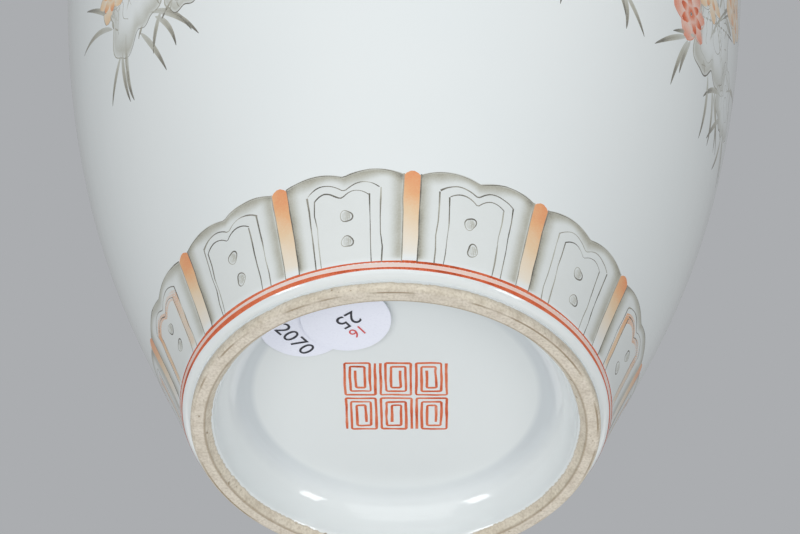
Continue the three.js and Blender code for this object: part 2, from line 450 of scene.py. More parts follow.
# %% [markdown]
# The glaze
#
# Clear lime glaze lies about a quarter of a millimetre thick on the white body. Its colour drifts
# between a blue white and a grey white over some centimetres, and a few specks of iron show in it.
# A flat white would look like plastic. The drift and the specks make it ware, and both come from
# textures in the vase's own millimetres, so they keep their size from piece to piece.

# %% Colour the glaze
GLAZE_WHITE = "#E6EAEA"
GLAZE_COOL = "#E0E6E7"
SPECK_BROWN = "#8E8578"
DRIFT_SIZE = 45
SPECK_SPACING = 9
SPECK_RADIUS = 0.16
SPECK_CHANCE = 0.16


def specked_glaze(add, place):
    """The glaze's colour with its slow drift and its few specks."""
    drift = add("TexNoise", grains(place, DRIFT_SIZE, 3.0))
    base = add("Mix", {0: drift, MIX_A: GLAZE_WHITE, MIX_B: GLAZE_COOL}, **COLOURS)
    spacing = {"Vector": place, "Scale": 1 / (SPECK_SPACING * MM)}
    reach = SPECK_RADIUS / SPECK_SPACING
    speck = add("MapRange", [add("TexVoronoi", spacing), reach, 1.6 * reach, 0.55, 0.0])
    chance = add("SeparateColor", [add("TexVoronoi", spacing, "Color")])
    rare = add("Math", [chance, SPECK_CHANCE], operation="LESS_THAN")
    amount = add("Math", [speck, rare], operation="MULTIPLY")
    return add("Mix", {0: amount, MIX_A: base, MIX_B: SPECK_BROWN}, **COLOURS)


print(f"one speck in {1 / SPECK_CHANCE:.0f} cells of {SPECK_SPACING} mm")

# %% [markdown]
# Painted shade in the cove
#
# The cove under the foot is painted greyer than the glaze, a painted shade in a ring between the
# ceiling and its wall. The painted shade is strongest to the left and the right, and fainter in front
# and behind. The ring is found by its distance from the axis, and needs no painted picture.

# %% Paint shade into the cove
# Painted shade: a grey for the cove, the radii of its ring, and how it fades from the sides to front and
# back.
COVE_SHADE_GREY = "#D2D8DB"
COVE_SHADE_RADII = (32.0, 33.4, 36.0, 38.6)
SIDE_SHADE_FROM, SIDE_SHADE_TO = 0.3, 0.9


def from_axis(add, place):
    """The distance of a place from the vase's axis, in metres."""
    level = add("VectorMath", [place, (1, 1, 0)], operation="MULTIPLY")
    return add("VectorMath", [level], "Value", operation="LENGTH")


# The glaze's colour, with painted shade mixed in under the foot, in the ring of the cove.
def glaze_colour(add, place):
    radius = from_axis(add, place)
    fades_in, full, full_to, gone = [radius_mm * MM for radius_mm in COVE_SHADE_RADII]
    inside = add("MapRange", [radius, fades_in, full])
    outside = add("MapRange", [radius, full_to, gone, 1.0, 0.0])
    ring = add("Math", [inside, outside], operation="MULTIPLY")
    height = add("SeparateXYZ", [place], "Z")
    under = add("Math", [height, (RECESS_DEPTH + 1) * MM], operation="LESS_THAN")
    both = add("Math", [ring, under], operation="MULTIPLY")
    sideways = add("Math", [add("SeparateXYZ", [place], "X")], operation="ABSOLUTE")
    share = add("Math", [sideways, radius], operation="DIVIDE")
    side_shade = add("MapRange", [share, SIDE_SHADE_FROM, SIDE_SHADE_TO, 0.3, 1.0])
    painted_shade = add("Math", [both, side_shade], operation="MULTIPLY")
    return add("Mix", {0: painted_shade, MIX_A: specked_glaze(add, place), MIX_B: COVE_SHADE_GREY}, **COLOURS)


print(f"the pooled ring lies {COVE_SHADE_RADII[0]} to {COVE_SHADE_RADII[-1]} mm from the axis")

# %% [markdown]
# Glazing the ware
#
# The glaze is nearly mirror smooth. Throwing and dipping leave long waves in it and a faint orange
# peel, and both show only where a lamp is mirrored. Bumps give them without a single extra face.

# %% Glaze the ware
PEEL_SIZE = 2.4
WAVE_SIZE = 38
GLAZE_ROUGHNESS = 0.09
GLAZE_IOR = 1.52


def glaze_bump(add, place):
    """Long waves from throwing and dipping, with a faint orange peel on them."""
    wave = add("TexNoise", grains(place, WAVE_SIZE, 1.0))
    waved = add("Bump", {"Height": wave, "Strength": 0.35, "Distance": 0.9 * MM})
    peel = add("TexNoise", grains(place, PEEL_SIZE, 2.0))
    return add("Bump", {"Height": peel, "Strength": 0.1, "Distance": 0.04 * MM, "Normal": waved})


# Clear lime glaze over white porcelain, dipped and fired to a melt. The eye sees a cool white with
# depth, sharp highlights with soft long waves, and no grain.
def porcelain_glaze():
    material, add = new_material("clear_glaze_on_porcelain")
    place = add("TexCoord", out="Object")
    finish = {"Roughness": GLAZE_ROUGHNESS, "IOR": GLAZE_IOR, "Normal": glaze_bump(add, place)}
    surface = add("BsdfPrincipled", {"Base Color": glaze_colour(add, place), **finish})
    add("OutputMaterial", [surface])
    return material


glaze = porcelain_glaze()
for piece in [*wall_pieces, vase_floor]:
    piece.data.materials.append(glaze)
print("glazed:", len(wall_pieces) + 1, "pieces")

# %% [markdown]
# The bare clay of the foot
#
# Where the glaze was wiped off, the fired clay is a fine, matt cream, called biscuit. It is a little
# browner on the bevels than on the flat it stands on, and it has turning lines, pinholes and a thin
# brown line where it meets the glaze, partly painted shade, with a dark line of painted shade along
# the inner edge. All of it comes from noises of different grain and from the height and the radius of
# a point, because the turning gave every part of the foot its own radius. Real grit is finer than
# 0.1 mm and wouldn't show, so it is drawn with grains of 0.6 mm, and its relief with 0.3 mm.

# %% Stain the clay
BISCUIT_CREAM = "#DCD4C6"
BISCUIT_TAN = "#DAD2C1"
BISCUIT_STAIN_AND_SHADE = "#8F7D62"
GRIT_SIZE, PIT_SIZE, CLOUD_SIZE, BLOTCH_SIZE, STRETCH_SIZE = 0.6, 1.4, 3.5, 8, 14
GROOVE_RADIUS = REST_OUTER_RADIUS - 0.12


def stains_and_edge_shade(add, noise, radius, height):
    """Shares of brown: grit, pits, clouds, a groove of the turning tool and painted shade at the inner
    edge.
    """
    grit, pits, clouds, stained = [
        add("MapRange", [noise[size], low, high, 0.0, share])
        for size, low, high, share in (
            (GRIT_SIZE, 0.42, 0.75, 0.42),
            (PIT_SIZE, 0.72, 0.78, 0.8),
            (CLOUD_SIZE, 0.45, 0.75, 0.3),
            (STRETCH_SIZE, 0.45, 0.6, 0.8),
        )
    ]
    from_groove = add("Math", [radius, GROOVE_RADIUS * MM, 0.2 * MM], operation="COMPARE")
    low_down = add("MapRange", [height, 0.1 * MM, 0.3 * MM, 1.0, 0.0])
    grooved = add("Math", [from_groove, low_down], operation="MULTIPLY")
    groove = add("Math", [grooved, stained], operation="MULTIPLY")
    # Painted shade: a dark line along the inner edge of the standing flat, where the foot's edge is shaded.
    from_edge = add("Math", [radius, REST_INNER_RADIUS * MM], operation="SUBTRACT")
    off_edge = add("Math", [from_edge], operation="ABSOLUTE")
    inner_edge_shade = add("MapRange", [off_edge, 0.1 * MM, 0.38 * MM, 0.6, 0.0])
    return [grit, pits, clouds, groove, inner_edge_shade]


def tan_share(add, noise, height):
    """Tan on the bevels and walls, cream on the flat it stands on, both blotched."""
    off_flat = add("MapRange", [height, 0.02 * MM, 0.3 * MM, 0.1, 0.85])
    blotch = add("MapRange", [noise[BLOTCH_SIZE], 0.35, 0.65, -0.3, 0.3])
    return add("Math", [off_flat, blotch], operation="ADD", use_clamp=True)


print(f"turning groove at a radius of {GROOVE_RADIUS:.2f} mm")

# %% [markdown]
# The glaze line
#
# The potter wiped the glaze back by hand, so its edge wanders by some tenths of a millimetre. Glaze and
# clay could be two pieces, but then the edge would be a row of corners. One material that holds both
# and knows how far above the line a point lies gives a fine, wandering edge.

# %% Mix the biscuit and its glaze line
LINE_WANDER = 0.22
LINE_RAGGED = 0.12
LINE_SOFTNESS = 0.1
WANDER_SIZE, RAGGED_SIZE, RELIEF_SIZE = 11, 0.8, 0.3
RING_MIDDLE = (REST_INNER_RADIUS + REST_OUTER_RADIUS) / 2

# The noises of the clay, by the size of their grains, each with its detail.
NOISES = {STRETCH_SIZE: 2, WANDER_SIZE: 2, BLOTCH_SIZE: 4, CLOUD_SIZE: 3}
NOISES |= {PIT_SIZE: 1, RAGGED_SIZE: 2, GRIT_SIZE: 4, RELIEF_SIZE: 4}


def above_line(add, noise, radius, height):
    """How far above the wiped glaze line a point lies, in metres; the line stands higher outside."""
    wander = add("MapRange", [noise[WANDER_SIZE], 0.3, 0.7, -LINE_WANDER * MM, LINE_WANDER * MM])
    ragged = add("MapRange", [noise[RAGGED_SIZE], 0.3, 0.7, -LINE_RAGGED * MM, LINE_RAGGED * MM])
    outside = add("Math", [radius, RING_MIDDLE * MM], operation="GREATER_THAN")
    line = add("MapRange", [outside, 0.0, 1.0, INNER_EDGE[1] * MM, (OUTER_EDGE[1] - 0.7) * MM])
    uneven = add("Math", [wander, ragged], operation="ADD")
    raised = add("Math", [height, uneven], operation="ADD")
    return add("Math", [raised, line], operation="SUBTRACT")


# Porcelain biscuit, turned, wiped bare of glaze and stained in the kiln and by handling. The eye sees
# a matt, fine, slightly gritty tan with a darker line at its edges, partly painted shade, against
# the glossy white.
def foot_clay():
    material, add = new_material("biscuit_foot_with_glaze_line")
    place = add("TexCoord", out="Object")
    height = add("SeparateXYZ", [place], "Z")
    radius = from_axis(add, place)
    noise = {size: add("TexNoise", grains(place, size, detail)) for size, detail in NOISES.items()}
    above = above_line(add, noise, radius, height)
    glazed = add("MapRange", [above, -LINE_SOFTNESS * MM, LINE_SOFTNESS * MM])
    off_line = add("Math", [above], operation="ABSOLUTE")
    # The brown line along the glaze line is partly the clay's own stain and partly painted shade, dark
    # enough to stand for the shade at the foot's inner edge.
    line_stain_and_shade = add("MapRange", [off_line, 0.05 * MM, 0.22 * MM, 0.45, 0.0])

    stains_and_shade = [*stains_and_edge_shade(add, noise, radius, height), line_stain_and_shade]
    layers = [(tan_share(add, noise, height), BISCUIT_TAN)]
    layers += [(share, BISCUIT_STAIN_AND_SHADE) for share in stains_and_shade]
    layers += [(glazed, glaze_colour(add, place))]
    colour = BISCUIT_CREAM
    for share, over in layers:
        colour = add("Mix", {0: share, MIX_A: colour, MIX_B: over}, **COLOURS)
    rough = add("MapRange", [glazed, 0.0, 1.0, 0.85, GLAZE_ROUGHNESS])
    depth = add("MapRange", [glazed, 0.0, 1.0, 0.45, 0.0])
    relief = add("Bump", {"Height": noise[RELIEF_SIZE], "Strength": depth, "Distance": 0.1 * MM})
    finish = {"Roughness": rough, "IOR": GLAZE_IOR, "Normal": relief}
    surface = add("BsdfPrincipled", {"Base Color": colour, **finish})
    add("OutputMaterial", [surface])
    return material


foot_ring.data.materials.append(foot_clay())
print("foot clay:", foot_ring.data.materials[0].name)

# %% [markdown]
# The brush
#
# Overglaze enamel is drawn with a loaded brush onto the fired glaze. Each stroke is a low ridge of
# glassy colour, thin where the brush was dry and dark where it was wet. Curves with a bevel could draw
# such strokes, but they can't hug a wall that bends both ways, and they carry no wetness. So the
# points of each stroke are worked out on the outline itself, as a thin closed body that reaches
# a little under the glaze. Every point also keeps the wetness there, which the material reads.

# %% Work out places on the vase
UNDER = 0.05
EDGE_LIFT = 0.001
WASH_LIFT = 0.006


def on_wall(angle, height, lift):
    """Places over the outside wall: angle in degrees from the front, height and lift in mm."""
    slope = lean_at(height)
    length = np.hypot(1, slope)
    radius = outer(height) + lift / length
    turn = np.radians(angle)
    return np.stack([radius * np.sin(turn), -radius * np.cos(turn), height - lift * slope / length], -1)


def under_ceiling(x, y, lift):
    """Places under the flat ceiling of the recess."""
    return np.stack([x, y, RECESS_DEPTH - lift + 0 * x], -1)


def slopes_of(place, first, second):
    """How a place moves for a small step of either coordinate."""
    small = 0.01
    step_first = (place(first + small, second, 0) - place(first - small, second, 0)) / (2 * small)
    step_second = (place(first, second + small, 0) - place(first, second - small, 0)) / (2 * small)
    return step_first, step_second


print("100 mm up at the front, in mm:", on_wall(0.0, 100.0, 0.0).round(2))

# %% [markdown]
# One stroke
#
# A stroke is a row of small profiles: a low ridge across the brush's way, closed by one corner under the
# glaze. The profiles are joined side to side like the rungs of a ladder, and each end is capped, so
# the stroke is a closed body. At its two edges the enamel is thinner, so it is a little drier there.

# %% Shape a stroke
EDGE_WETNESS = 0.8


def stroke_body(place, path, width, wetness, across, ridge, closed):
    """Corners, faces and wetness of a stroke whose width, in mm, and wetness may change."""
    path = np.asarray(path, float)
    first, second = path[:, 0], path[:, 1]
    count, size = len(path), across + 1
    steps = slopes_of(place, first, second)
    middle = place(first, second, 0)
    ahead = np.roll(middle, -1, 0) - np.roll(middle, 1, 0) if closed else np.gradient(middle, axis=0)
    side = np.cross(np.cross(*steps), ahead)
    side /= np.linalg.norm(side, axis=1, keepdims=True) + 1e-12
    moves = [((side * step).sum(1) / (step**2).sum(1))[:, None] for step in steps]
    reach = np.linspace(-0.5, 0.5, across) * np.broadcast_to(width, count)[:, None]
    lift = ridge * (1 - np.linspace(-1, 1, across) ** 2) + EDGE_LIFT + 0 * reach
    top = place(first[:, None] + reach * moves[0], second[:, None] + reach * moves[1], lift)
    bottom = place(first, second, -UNDER)[:, None, :]
    wet = np.repeat(np.broadcast_to(wetness, count)[:, None], size, 1)
    wet[:, [0, across - 1]] *= EDGE_WETNESS

    here = np.arange(count * size).reshape(count, size)
    after = np.roll(here, -1, 1)
    sides = np.stack([here, after, np.roll(after, -1, 0), np.roll(here, -1, 0)], -1)
    faces = sides[: count if closed else -1].reshape(-1, 4).tolist()
    if not closed:
        faces += [here[0, ::-1].tolist(), here[-1].tolist()]
    return np.concatenate([top, bottom], 1), faces, wet


trial = stroke_body(on_wall, [(0, 100), (0, 110)], 1.0, 0.5, 3, 0.01, False)
print("the shortest stroke has", len(trial[0].reshape(-1, 3)), "corners and", len(trial[1]), "faces")

# %% [markdown]
# One wash
#
# A wash is enamel floated on with a soft, full brush: an even, very thin layer that fades where it dries.
# It is a grid of places over the wall, a second one under the glaze, and a rim between the two.

# %% Shape a wash


def wash_body(place, places, wetness):
    """Corners, faces and wetness of a thin layer over a grid of places."""
    first, second = places[..., 0], places[..., 1]
    area = first.size
    top = place(first, second, WASH_LIFT + 0 * first)
    bottom = place(first, second, -UNDER + 0 * first)
    here = np.arange(area).reshape(first.shape)
    loops = np.stack([here[:-1, :-1], here[:-1, 1:], here[1:, 1:], here[1:, :-1]], -1).reshape(-1, 4)
    border = np.concatenate([here[0], here[1:, -1], here[-1, -2::-1], here[-2:0:-1, 0]])
    after = np.roll(border, -1)
    rim = np.stack([after, border, border + area, after + area], -1)
    faces = [*loops.tolist(), *(loops[:, ::-1] + area).tolist(), *rim.tolist()]
    return np.stack([top, bottom]), faces, np.stack([wetness, wetness])


print("a wash lies", WASH_LIFT, "mm over the glaze")

# %% [markdown]
# Gathering the brushwork
#
# A painter works with one enamel at a time, and so does this: all strokes of one colour in one part of
# the painting are gathered and become one piece. It is made from its points and faces at once, because
# thousands of strokes added by operators would take minutes and could not carry the wetness.

# %% Gather the brushwork
STROKE_SHARP_ANGLE = math.radians(60)


class Brushwork:
    """Strokes and washes of one enamel, gathered into one closed mesh."""

    def __init__(self, name, place=on_wall):
        self.name, self.place = name, place
        self.corners, self.faces, self.wetness = [], [], []
        self.count = 0

    def add(self, corners, faces, wetness):
        self.corners.append(corners.reshape(-1, 3))
        self.wetness.append(wetness.reshape(-1))
        self.faces += [[corner + self.count for corner in face] for face in faces]
        self.count += len(self.corners[-1])

    def stroke(self, path, width, wetness, across=3, ridge=0.01, closed=False):
        self.add(*stroke_body(self.place, path, width, wetness, across, ridge, closed))

    def wash(self, places, wetness):
        self.add(*wash_body(self.place, places, wetness))

    def finish(self, material, slot="glazed_porcelain"):
        """Turn the gathered brushwork into a piece."""
        mesh = bpy.data.meshes.new(self.name)
        mesh.from_pydata(np.concatenate(self.corners) * MM, [], self.faces)
        wet = mesh.attributes.new("wetness", "FLOAT", "POINT")
        wet.data.foreach_set("value", np.clip(np.concatenate(self.wetness), 0, 1).astype(np.float32))
        piece = bpy.data.objects.new(self.name, mesh)
        bpy.context.scene.collection.objects.link(piece)
        face_outwards(piece)
        bpy.ops.object.shade_smooth_by_angle(angle=STROKE_SHARP_ANGLE)
        mesh.materials.append(material)
        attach(piece, "root")
        print(f"{self.name}: {len(mesh.polygons)} faces")


# %% [markdown]
# Enamel colours
#
# Three enamels do the painting: a grey like pencil, made of black pigment in a little glass, iron red,
# and a soft orange that thins to cream. Thin enamel lets the glaze show through, so each colour is
# mixed from the wetness of the stroke. Ground pigment also settles in grains, which break a wash up
# into tiny darker and lighter spots, and it leaves the surface a little duller than the glaze. Those
# grains are a few hundredths of a millimetre and wouldn't show, so they are drawn at 0.35 mm.

# %% Mix the enamels
GRAIN_SIZE = 0.35
POOL_SIZE = 3.2


def enamel(name, stops, roughness, unevenness):
    """Enamel over glaze: colour stops by wetness, the first of them over bare glaze."""
    material, add = new_material(name)
    place = add("TexCoord", out="Object")
    wet = add("Attribute", out="Fac", attribute_name="wetness")
    grain = add("TexNoise", grains(place, GRAIN_SIZE, 2.0))
    pool = add("TexNoise", grains(place, POOL_SIZE, 2.0))
    mottle = add("Math", [grain, pool], operation="ADD")
    uneven = add("MapRange", [mottle, 0.7, 1.3, 1 - unevenness, 1 + unevenness])
    load = add("Math", [wet, uneven], operation="MULTIPLY", use_clamp=True)
    pigment = add("ValToRGB", [load], stops=stops)
    cover = add("MapRange", [load, 0.0, stops[0][0]])
    under = glaze_colour(add, place)
    colour = add("Mix", {0: cover, MIX_A: under, MIX_B: pigment}, **COLOURS)
    finish = {"Roughness": roughness, "IOR": GLAZE_IOR, "Normal": glaze_bump(add, place)}
    surface = add("BsdfPrincipled", {"Base Color": colour, **finish})
    add("OutputMaterial", [surface])
    return material


# Grisaille is black pigment in thin glass, brushed on and fired: a soft pencil grey, barely duller
# than the glaze. Iron red is rust in glass, matt where it is thick. Orange is the same red let down
# with lead glass, and thins to cream.
GREY_STOPS = [(0.25, "#CACDC8"), (0.5, "#B0AFA3"), (0.75, "#85837A"), (1.0, "#57554D")]
RED_STOPS = [(0.3, "#E6C2B4"), (0.7, "#DA7650"), (0.93, "#CB5932"), (1.0, "#AC4821")]
ORANGE_STOPS = [(0.25, "#E6DCCB"), (0.5, "#E4CAA8"), (0.75, "#E5B184"), (1.0, "#E29668")]
grey_enamel = enamel("grisaille_enamel", GREY_STOPS, GLAZE_ROUGHNESS + 0.06, 0.14)
red_enamel = enamel("iron_red_enamel", RED_STOPS, GLAZE_ROUGHNESS + 0.1, 0.14)
orange_enamel = enamel("orange_enamel", ORANGE_STOPS, GLAZE_ROUGHNESS + 0.06, 0.08)
print("enamels:", grey_enamel.name, red_enamel.name, orange_enamel.name)

# %% [markdown]
# Freehand lines
#
# A steady hand still wanders by a quarter of a millimetre and presses now harder, now softer. These
# helpers lay points along a line, shake them a little and vary the wetness, always from a fixed seed,
# so the same vase comes out each time.

# %% Steady and unsteady hands
hand = np.random.default_rng(47)


def along(points, step=0.5):
    """Points every step along a path through the given ones."""
    points = np.asarray(points, float)
    lengths = np.concatenate([[0], np.cumsum(np.hypot(*np.diff(points, axis=0).T))])
    places = np.linspace(0, lengths[-1], max(3, int(lengths[-1] / step) + 1))
    return np.stack([np.interp(places, lengths, points[:, axis]) for axis in (0, 1)], 1)


def spread(values, count):
    """A row of values drawn out evenly to a count of them."""
    return np.interp(np.linspace(0, len(values) - 1, count), np.arange(len(values)), values)


def waver(count, size, length):
    """A smooth wander of about the given size that changes over the given number of points."""
    return spread(hand.normal(0, size, max(3, int(count / length) + 3)), count)


def smoothstep(value):
    value = np.clip(value, 0, 1)
    return value * value * (3 - 2 * value)


print("points along a line of 10 mm:", len(along([(0, 0), (10, 0)])))

# %% [markdown]
# The lappet border
#
# Twelve lotus petals stand round the foot, each a scalloped panel between two orange bars. It is one
# of the oldest borders on porcelain and each painter draws it a little differently. Each petal has a
# washed outline, two drawn frames inside it and two small rings. Petals are drawn one by one with
# fresh wandering, because a copied petal would look printed. First come its sizes, and how a place in a
# petal becomes a place on the wall.

# %% Lay out the border
PETALS = 12
FIRST_BAR = 2.65
PETAL_ANGLE = 360 / PETALS
PETAL_RADIUS = 54.0
BAR_HALF = 1.8
PETAL_HALF = math.radians(PETAL_ANGLE / 2) * PETAL_RADIUS - BAR_HALF
LOW_LINE = 4.48
HIGH_LINE = 5.88
PETAL_TOP = 25.3
BAR_TOP = 25.0

# The crest of a two-lobed top, its drop beside and between the lobes, and half a lobe's width.
SCALLOP = (PETAL_TOP, 1.15, PETAL_HALF / 2)
OUTER_FRAME = (22.9, 1.7, 4.1)
INNER_FRAME = (21.2, 1.5, 3.3)


def petal_angle(petal):
    return FIRST_BAR + PETAL_ANGLE * (petal + 0.5)


def to_wall(petal, points):
    """Petal places, in mm from its middle and up, as angle and height."""
    across = np.degrees(points[..., 0] / PETAL_RADIUS)
    return np.stack([petal_angle(petal) + across, points[..., 1]], -1)


def lobed(side, crest, drop, half):
    return crest - drop * ((abs(side) - half) / half) ** 2


def drawn(work, petal, points, width, wetness, shake=0.12, landing=0.0):
    """One freehand line of a petal, broader where the brush lands."""
    line = along(points)
    line[:, 0] += waver(len(line), shake, 9)
    line[:, 1] += waver(len(line), shake, 9)
    landed = landing * np.exp(-np.arange(len(line)) / 5)
    press = np.clip(1 + landed + waver(len(line), 0.26, 7), 0.55, 1.9)
    work.stroke(to_wall(petal, line), width * press, wetness + waver(len(line), 0.17, 8))


def paint_petals(name, enamel_colour, draw):
    """One piece of brushwork that goes round all petals."""
    work = Brushwork(name)
    for petal in range(PETALS):
        draw(work, petal)
    work.finish(enamel_colour)


print(f"{PETALS} petals, each {2 * PETAL_HALF:.2f} mm wide")

# %% [markdown]
# The petals' wash
#
# A thin grey is floated along the inside of each petal's outline while it is wet, most under the scallop
# and down the two sides, and it thins to nothing in the middle. One grid over the petal, with the
# wetness worked out from the distance to its edges, gives that in one wash.

# %% Wash the petals


def petal_wash(work, petal):
    sideways, share = np.meshgrid(np.linspace(-PETAL_HALF, PETAL_HALF, 57), np.linspace(0, 1, 41))
    top = lobed(sideways, *SCALLOP) + 0.2
    height = HIGH_LINE + share * (top - HIGH_LINE)
    heavy = hand.uniform(0.85, 1.15)
    reach = 2.7 + 0.7 * np.sin(sideways * 0.55 + petal * 1.7)
    crest = heavy * 0.52 * smoothstep(1 - (top - height) / reach) ** 0.8
    from_right, from_left = PETAL_HALF - sideways, PETAL_HALF + sideways
    right = heavy * 0.46 * smoothstep(1 - from_right / 3.9) * smoothstep(0.3 + from_right / 0.9)
    dark_left = 0.3 * smoothstep(1 - from_left / 1.3) * (1 - share)
    left = heavy * (0.42 * smoothstep(1 - from_left / 3.4) + dark_left)
    edge = smoothstep(share * 14) * smoothstep(0.35 + (1 - share) * 60)
    wet = np.sqrt(crest**2 + right**2 + left**2 + 0.08**2) * edge
    work.wash(to_wall(petal, np.stack([sideways, height], -1)), wet)


paint_petals("border_washes", grey_enamel, petal_wash)

# %% [markdown]
# The petals' lines
#
# Over the wash the painter draws the scalloped outline, two frames inside it and two little rings. A
# frame is three strokes, over the top and then down either side, each with its own load of enamel,
# and the brush spreads a little where it lands. A single even line would look ruled.

# %% Draw the petals
RING_HEIGHTS = (15.9, 10.85)
RING_RADIUS = 1.24
ring_places = {}


def arch(left, right, top, middle=0.0, fall=0.0):
    """Up one side from the red line, over a lobed top, and down the other."""
    over = [(side, lobed(side - middle, *top) - fall) for side in np.linspace(left, right, 26)]
    return [(left, HIGH_LINE)] + over + [(right, HIGH_LINE)]


def circle(middle, reach, turn):
    return np.stack([middle[0] + reach * np.cos(turn), middle[1] + reach * np.sin(turn)], -1)


def small_ring(work, petal, height):
    """A little ring that the brush never quite closes evenly."""
    middle = (-0.4 + hand.normal(0, 0.6), height + hand.normal(0, 0.25))
    ring_places[petal, height] = middle
    turn = np.linspace(0, math.tau, 33)[:-1]
    start = hand.uniform(0, math.tau)
    uneven = 0.11 * np.sin(2 * turn + start) + 0.08 * np.sin(3 * turn - 2 * start)
    ring = circle(middle, RING_RADIUS * (1 + uneven), turn)
    press = 1 + 0.4 * np.sin(turn + start)
    work.stroke(to_wall(petal, ring), 0.46 * press, 0.76 + 0.2 * np.sin(turn + start), closed=True)


def frame_lines(work, petal, half, middle, top, width):
    left, *over, right = arch(middle - half, middle + half, top, middle)
    for points in (over, [over[0], left], [over[-1], right]):
        wetness = hand.uniform(0.62, 0.98)
        drawn(work, petal, points, width * hand.uniform(0.8, 1.25), wetness, landing=0.5)


def petal_lines(work, petal):
    nudge = hand.normal(0, 0.35, 4)
    outline = [(side, lobed(side, *SCALLOP)) for side in np.linspace(-PETAL_HALF, PETAL_HALF, 40)]
    drawn(work, petal, outline, 0.34, 0.8, 0.06)
    frame_lines(work, petal, 8.0 + nudge[1] * 0.4, -0.2 + nudge[0], OUTER_FRAME, 0.44)
    frame_lines(work, petal, 6.0 + nudge[3] * 0.3, -0.6 + nudge[2], INNER_FRAME, 0.4)
    for height in RING_HEIGHTS:
        small_ring(work, petal, height)


paint_petals("border_lines", grey_enamel, petal_lines)

# %% [markdown]
# The bars
#
# Each orange bar is one pull of a loaded brush from its round top down to the red line. The brush runs
# dry on the way, so the colour goes from deep orange to nothing. A grid that follows the bar's outline
# takes its wetness from the height.

# %% Fill the bars
BAR_FOOT = 6.3
DRYING_HEIGHTS = [5, 8, 12, 16, 20, 22.5, 25]
DRYING_WETNESS = [0.0, 0.08, 0.25, 0.45, 0.72, 0.92, 1.0]


def bar_fill(work, petal):
    share, sideways = np.meshgrid(np.linspace(0, 1, 45), np.linspace(-1, 1, 13), indexing="ij")
    height = BAR_FOOT + share * (BAR_TOP - BAR_FOOT)
    half = BAR_HALF * np.sqrt(np.clip((BAR_TOP + 0.05 - height) / 1.1, 0, 1))
    run = hand.uniform(-1.5, 4.0)
    wet = np.interp(height + run * (1 - share), DRYING_HEIGHTS, DRYING_WETNESS)
    wet = wet * (0.94 + 0.07 * sideways) * smoothstep(share * 9)
    angle = FIRST_BAR + PETAL_ANGLE * petal + np.degrees(sideways * half / PETAL_RADIUS)
    work.wash(np.stack([angle, height], -1), wet)


paint_petals("border_bars", orange_enamel, bar_fill)

# %% [markdown]
# Edges of the bars and shade in the rings
#
# A grey line closes each bar on both sides, and the small rings get a breath of grey. They use the
# same enamel as the petals' lines and are drawn in one go, so they make one piece.

# %% Edge the bars and shade the rings
EDGE_POINTS = 40


def ring_fill(work, petal, height):
    turn, reach = np.meshgrid(np.linspace(0, math.tau, 25), np.linspace(0.05, RING_RADIUS - 0.15, 5))
    heavy = hand.uniform(0.3, 0.5)
    wet = heavy * smoothstep((RING_RADIUS - reach) * 2.5) * (0.75 + 0.25 * np.cos(turn))
    work.wash(to_wall(petal, circle(ring_places[petal, height], reach, turn)), wet)


def edges_and_rings(work, petal):
    half = math.degrees(BAR_HALF / PETAL_RADIUS)
    heights = np.linspace(HIGH_LINE, BAR_TOP - 0.6, EDGE_POINTS)
    for side, wet in ((-half, 0.62), (half, 0.92)):
        angle = FIRST_BAR + PETAL_ANGLE * petal + side + waver(EDGE_POINTS, 0.05, 8)
        width = 0.36 + waver(EDGE_POINTS, 0.06, 6)
        wetness = wet * np.linspace(1.1, 0.9, EDGE_POINTS)
        work.stroke(np.stack([angle, heights], 1), width, wetness, ridge=0.02)
    for height in RING_HEIGHTS:
        ring_fill(work, petal, height)


paint_petals("bar_edges", grey_enamel, edges_and_rings)

# %% [markdown]
# Frames filled with orange
#
# On a few petals the painter filled the band between the two frames with orange. It is a patch that
# follows both frames, so its places are laid in rows from the inner frame to the outer one.

# %% Fill the band on some petals
ORANGE_PETALS = (-72.35, 77.65, 107.65, -102.35)
BAND_FALL = 1.0
BAND_POINTS = 90
BAND_SIDES = ((-6.3, 5.3, INNER_FRAME), (-8.0, 7.7, OUTER_FRAME))


def band_fill(work, petal):
    turn = (petal_angle(petal) + 180) % 360 - 180
    if all(abs(turn - angle) > 1 for angle in ORANGE_PETALS):
        return
    paths = [along(arch(*side, fall=BAND_FALL), 0.2) for side in BAND_SIDES]
    inside, outside = [np.stack([spread(line, BAND_POINTS) for line in path.T], 1) for path in paths]
    share = np.linspace(0, 1, 7)[:, None, None]
    grid = inside * (1 - share) + outside * share
    height = grid[..., 1]
    wet = (0.62 + 0.3 * smoothstep((height - 14) / 7)) * smoothstep((height - HIGH_LINE) / 2.5)
    work.wash(to_wall(petal, grid), wet * 0.9)


paint_petals("border_bands", orange_enamel, band_fill)

# %% [markdown]
# Red lines at the foot, the neck and the lip
#
# With the vase turning on a wheel the painter holds a loaded brush still, and a line runs round by
# itself. Two such iron-red lines close the border above the foot, with a breath of pink between them.
# A pair at the neck and one under the lip finish the vase.

# %% Draw the red lines
RING_POINTS = 720
LIP_LINE = HEIGHT - 5.5
NECK_LINES = (NECK_HEIGHT - 19, NECK_HEIGHT - 21.2)
SWELL_ANGLE = -50.0  # where the brush was set down and the line is broadest
around = np.linspace(-180, 180, RING_POINTS, endpoint=False)
turns = np.radians(around)


def red_line(work, height, width, wet, wander=0.06, swell=0.0):
    sway = wander * (np.sin(turns + height) + 0.5 * np.sin(3 * turns) + 0.3 * np.sin(7 * turns + 2))
    press = 1 + 0.22 * np.sin(5 * turns + height) + 0.12 * np.sin(13 * turns)
    press = press + swell * np.exp(-(((around - SWELL_ANGLE) / 22) ** 2))
    path = np.stack([around, height + sway], 1)
    work.stroke(path, width * press, wet + 0.1 * np.sin(4 * turns + 1), across=7, closed=True)


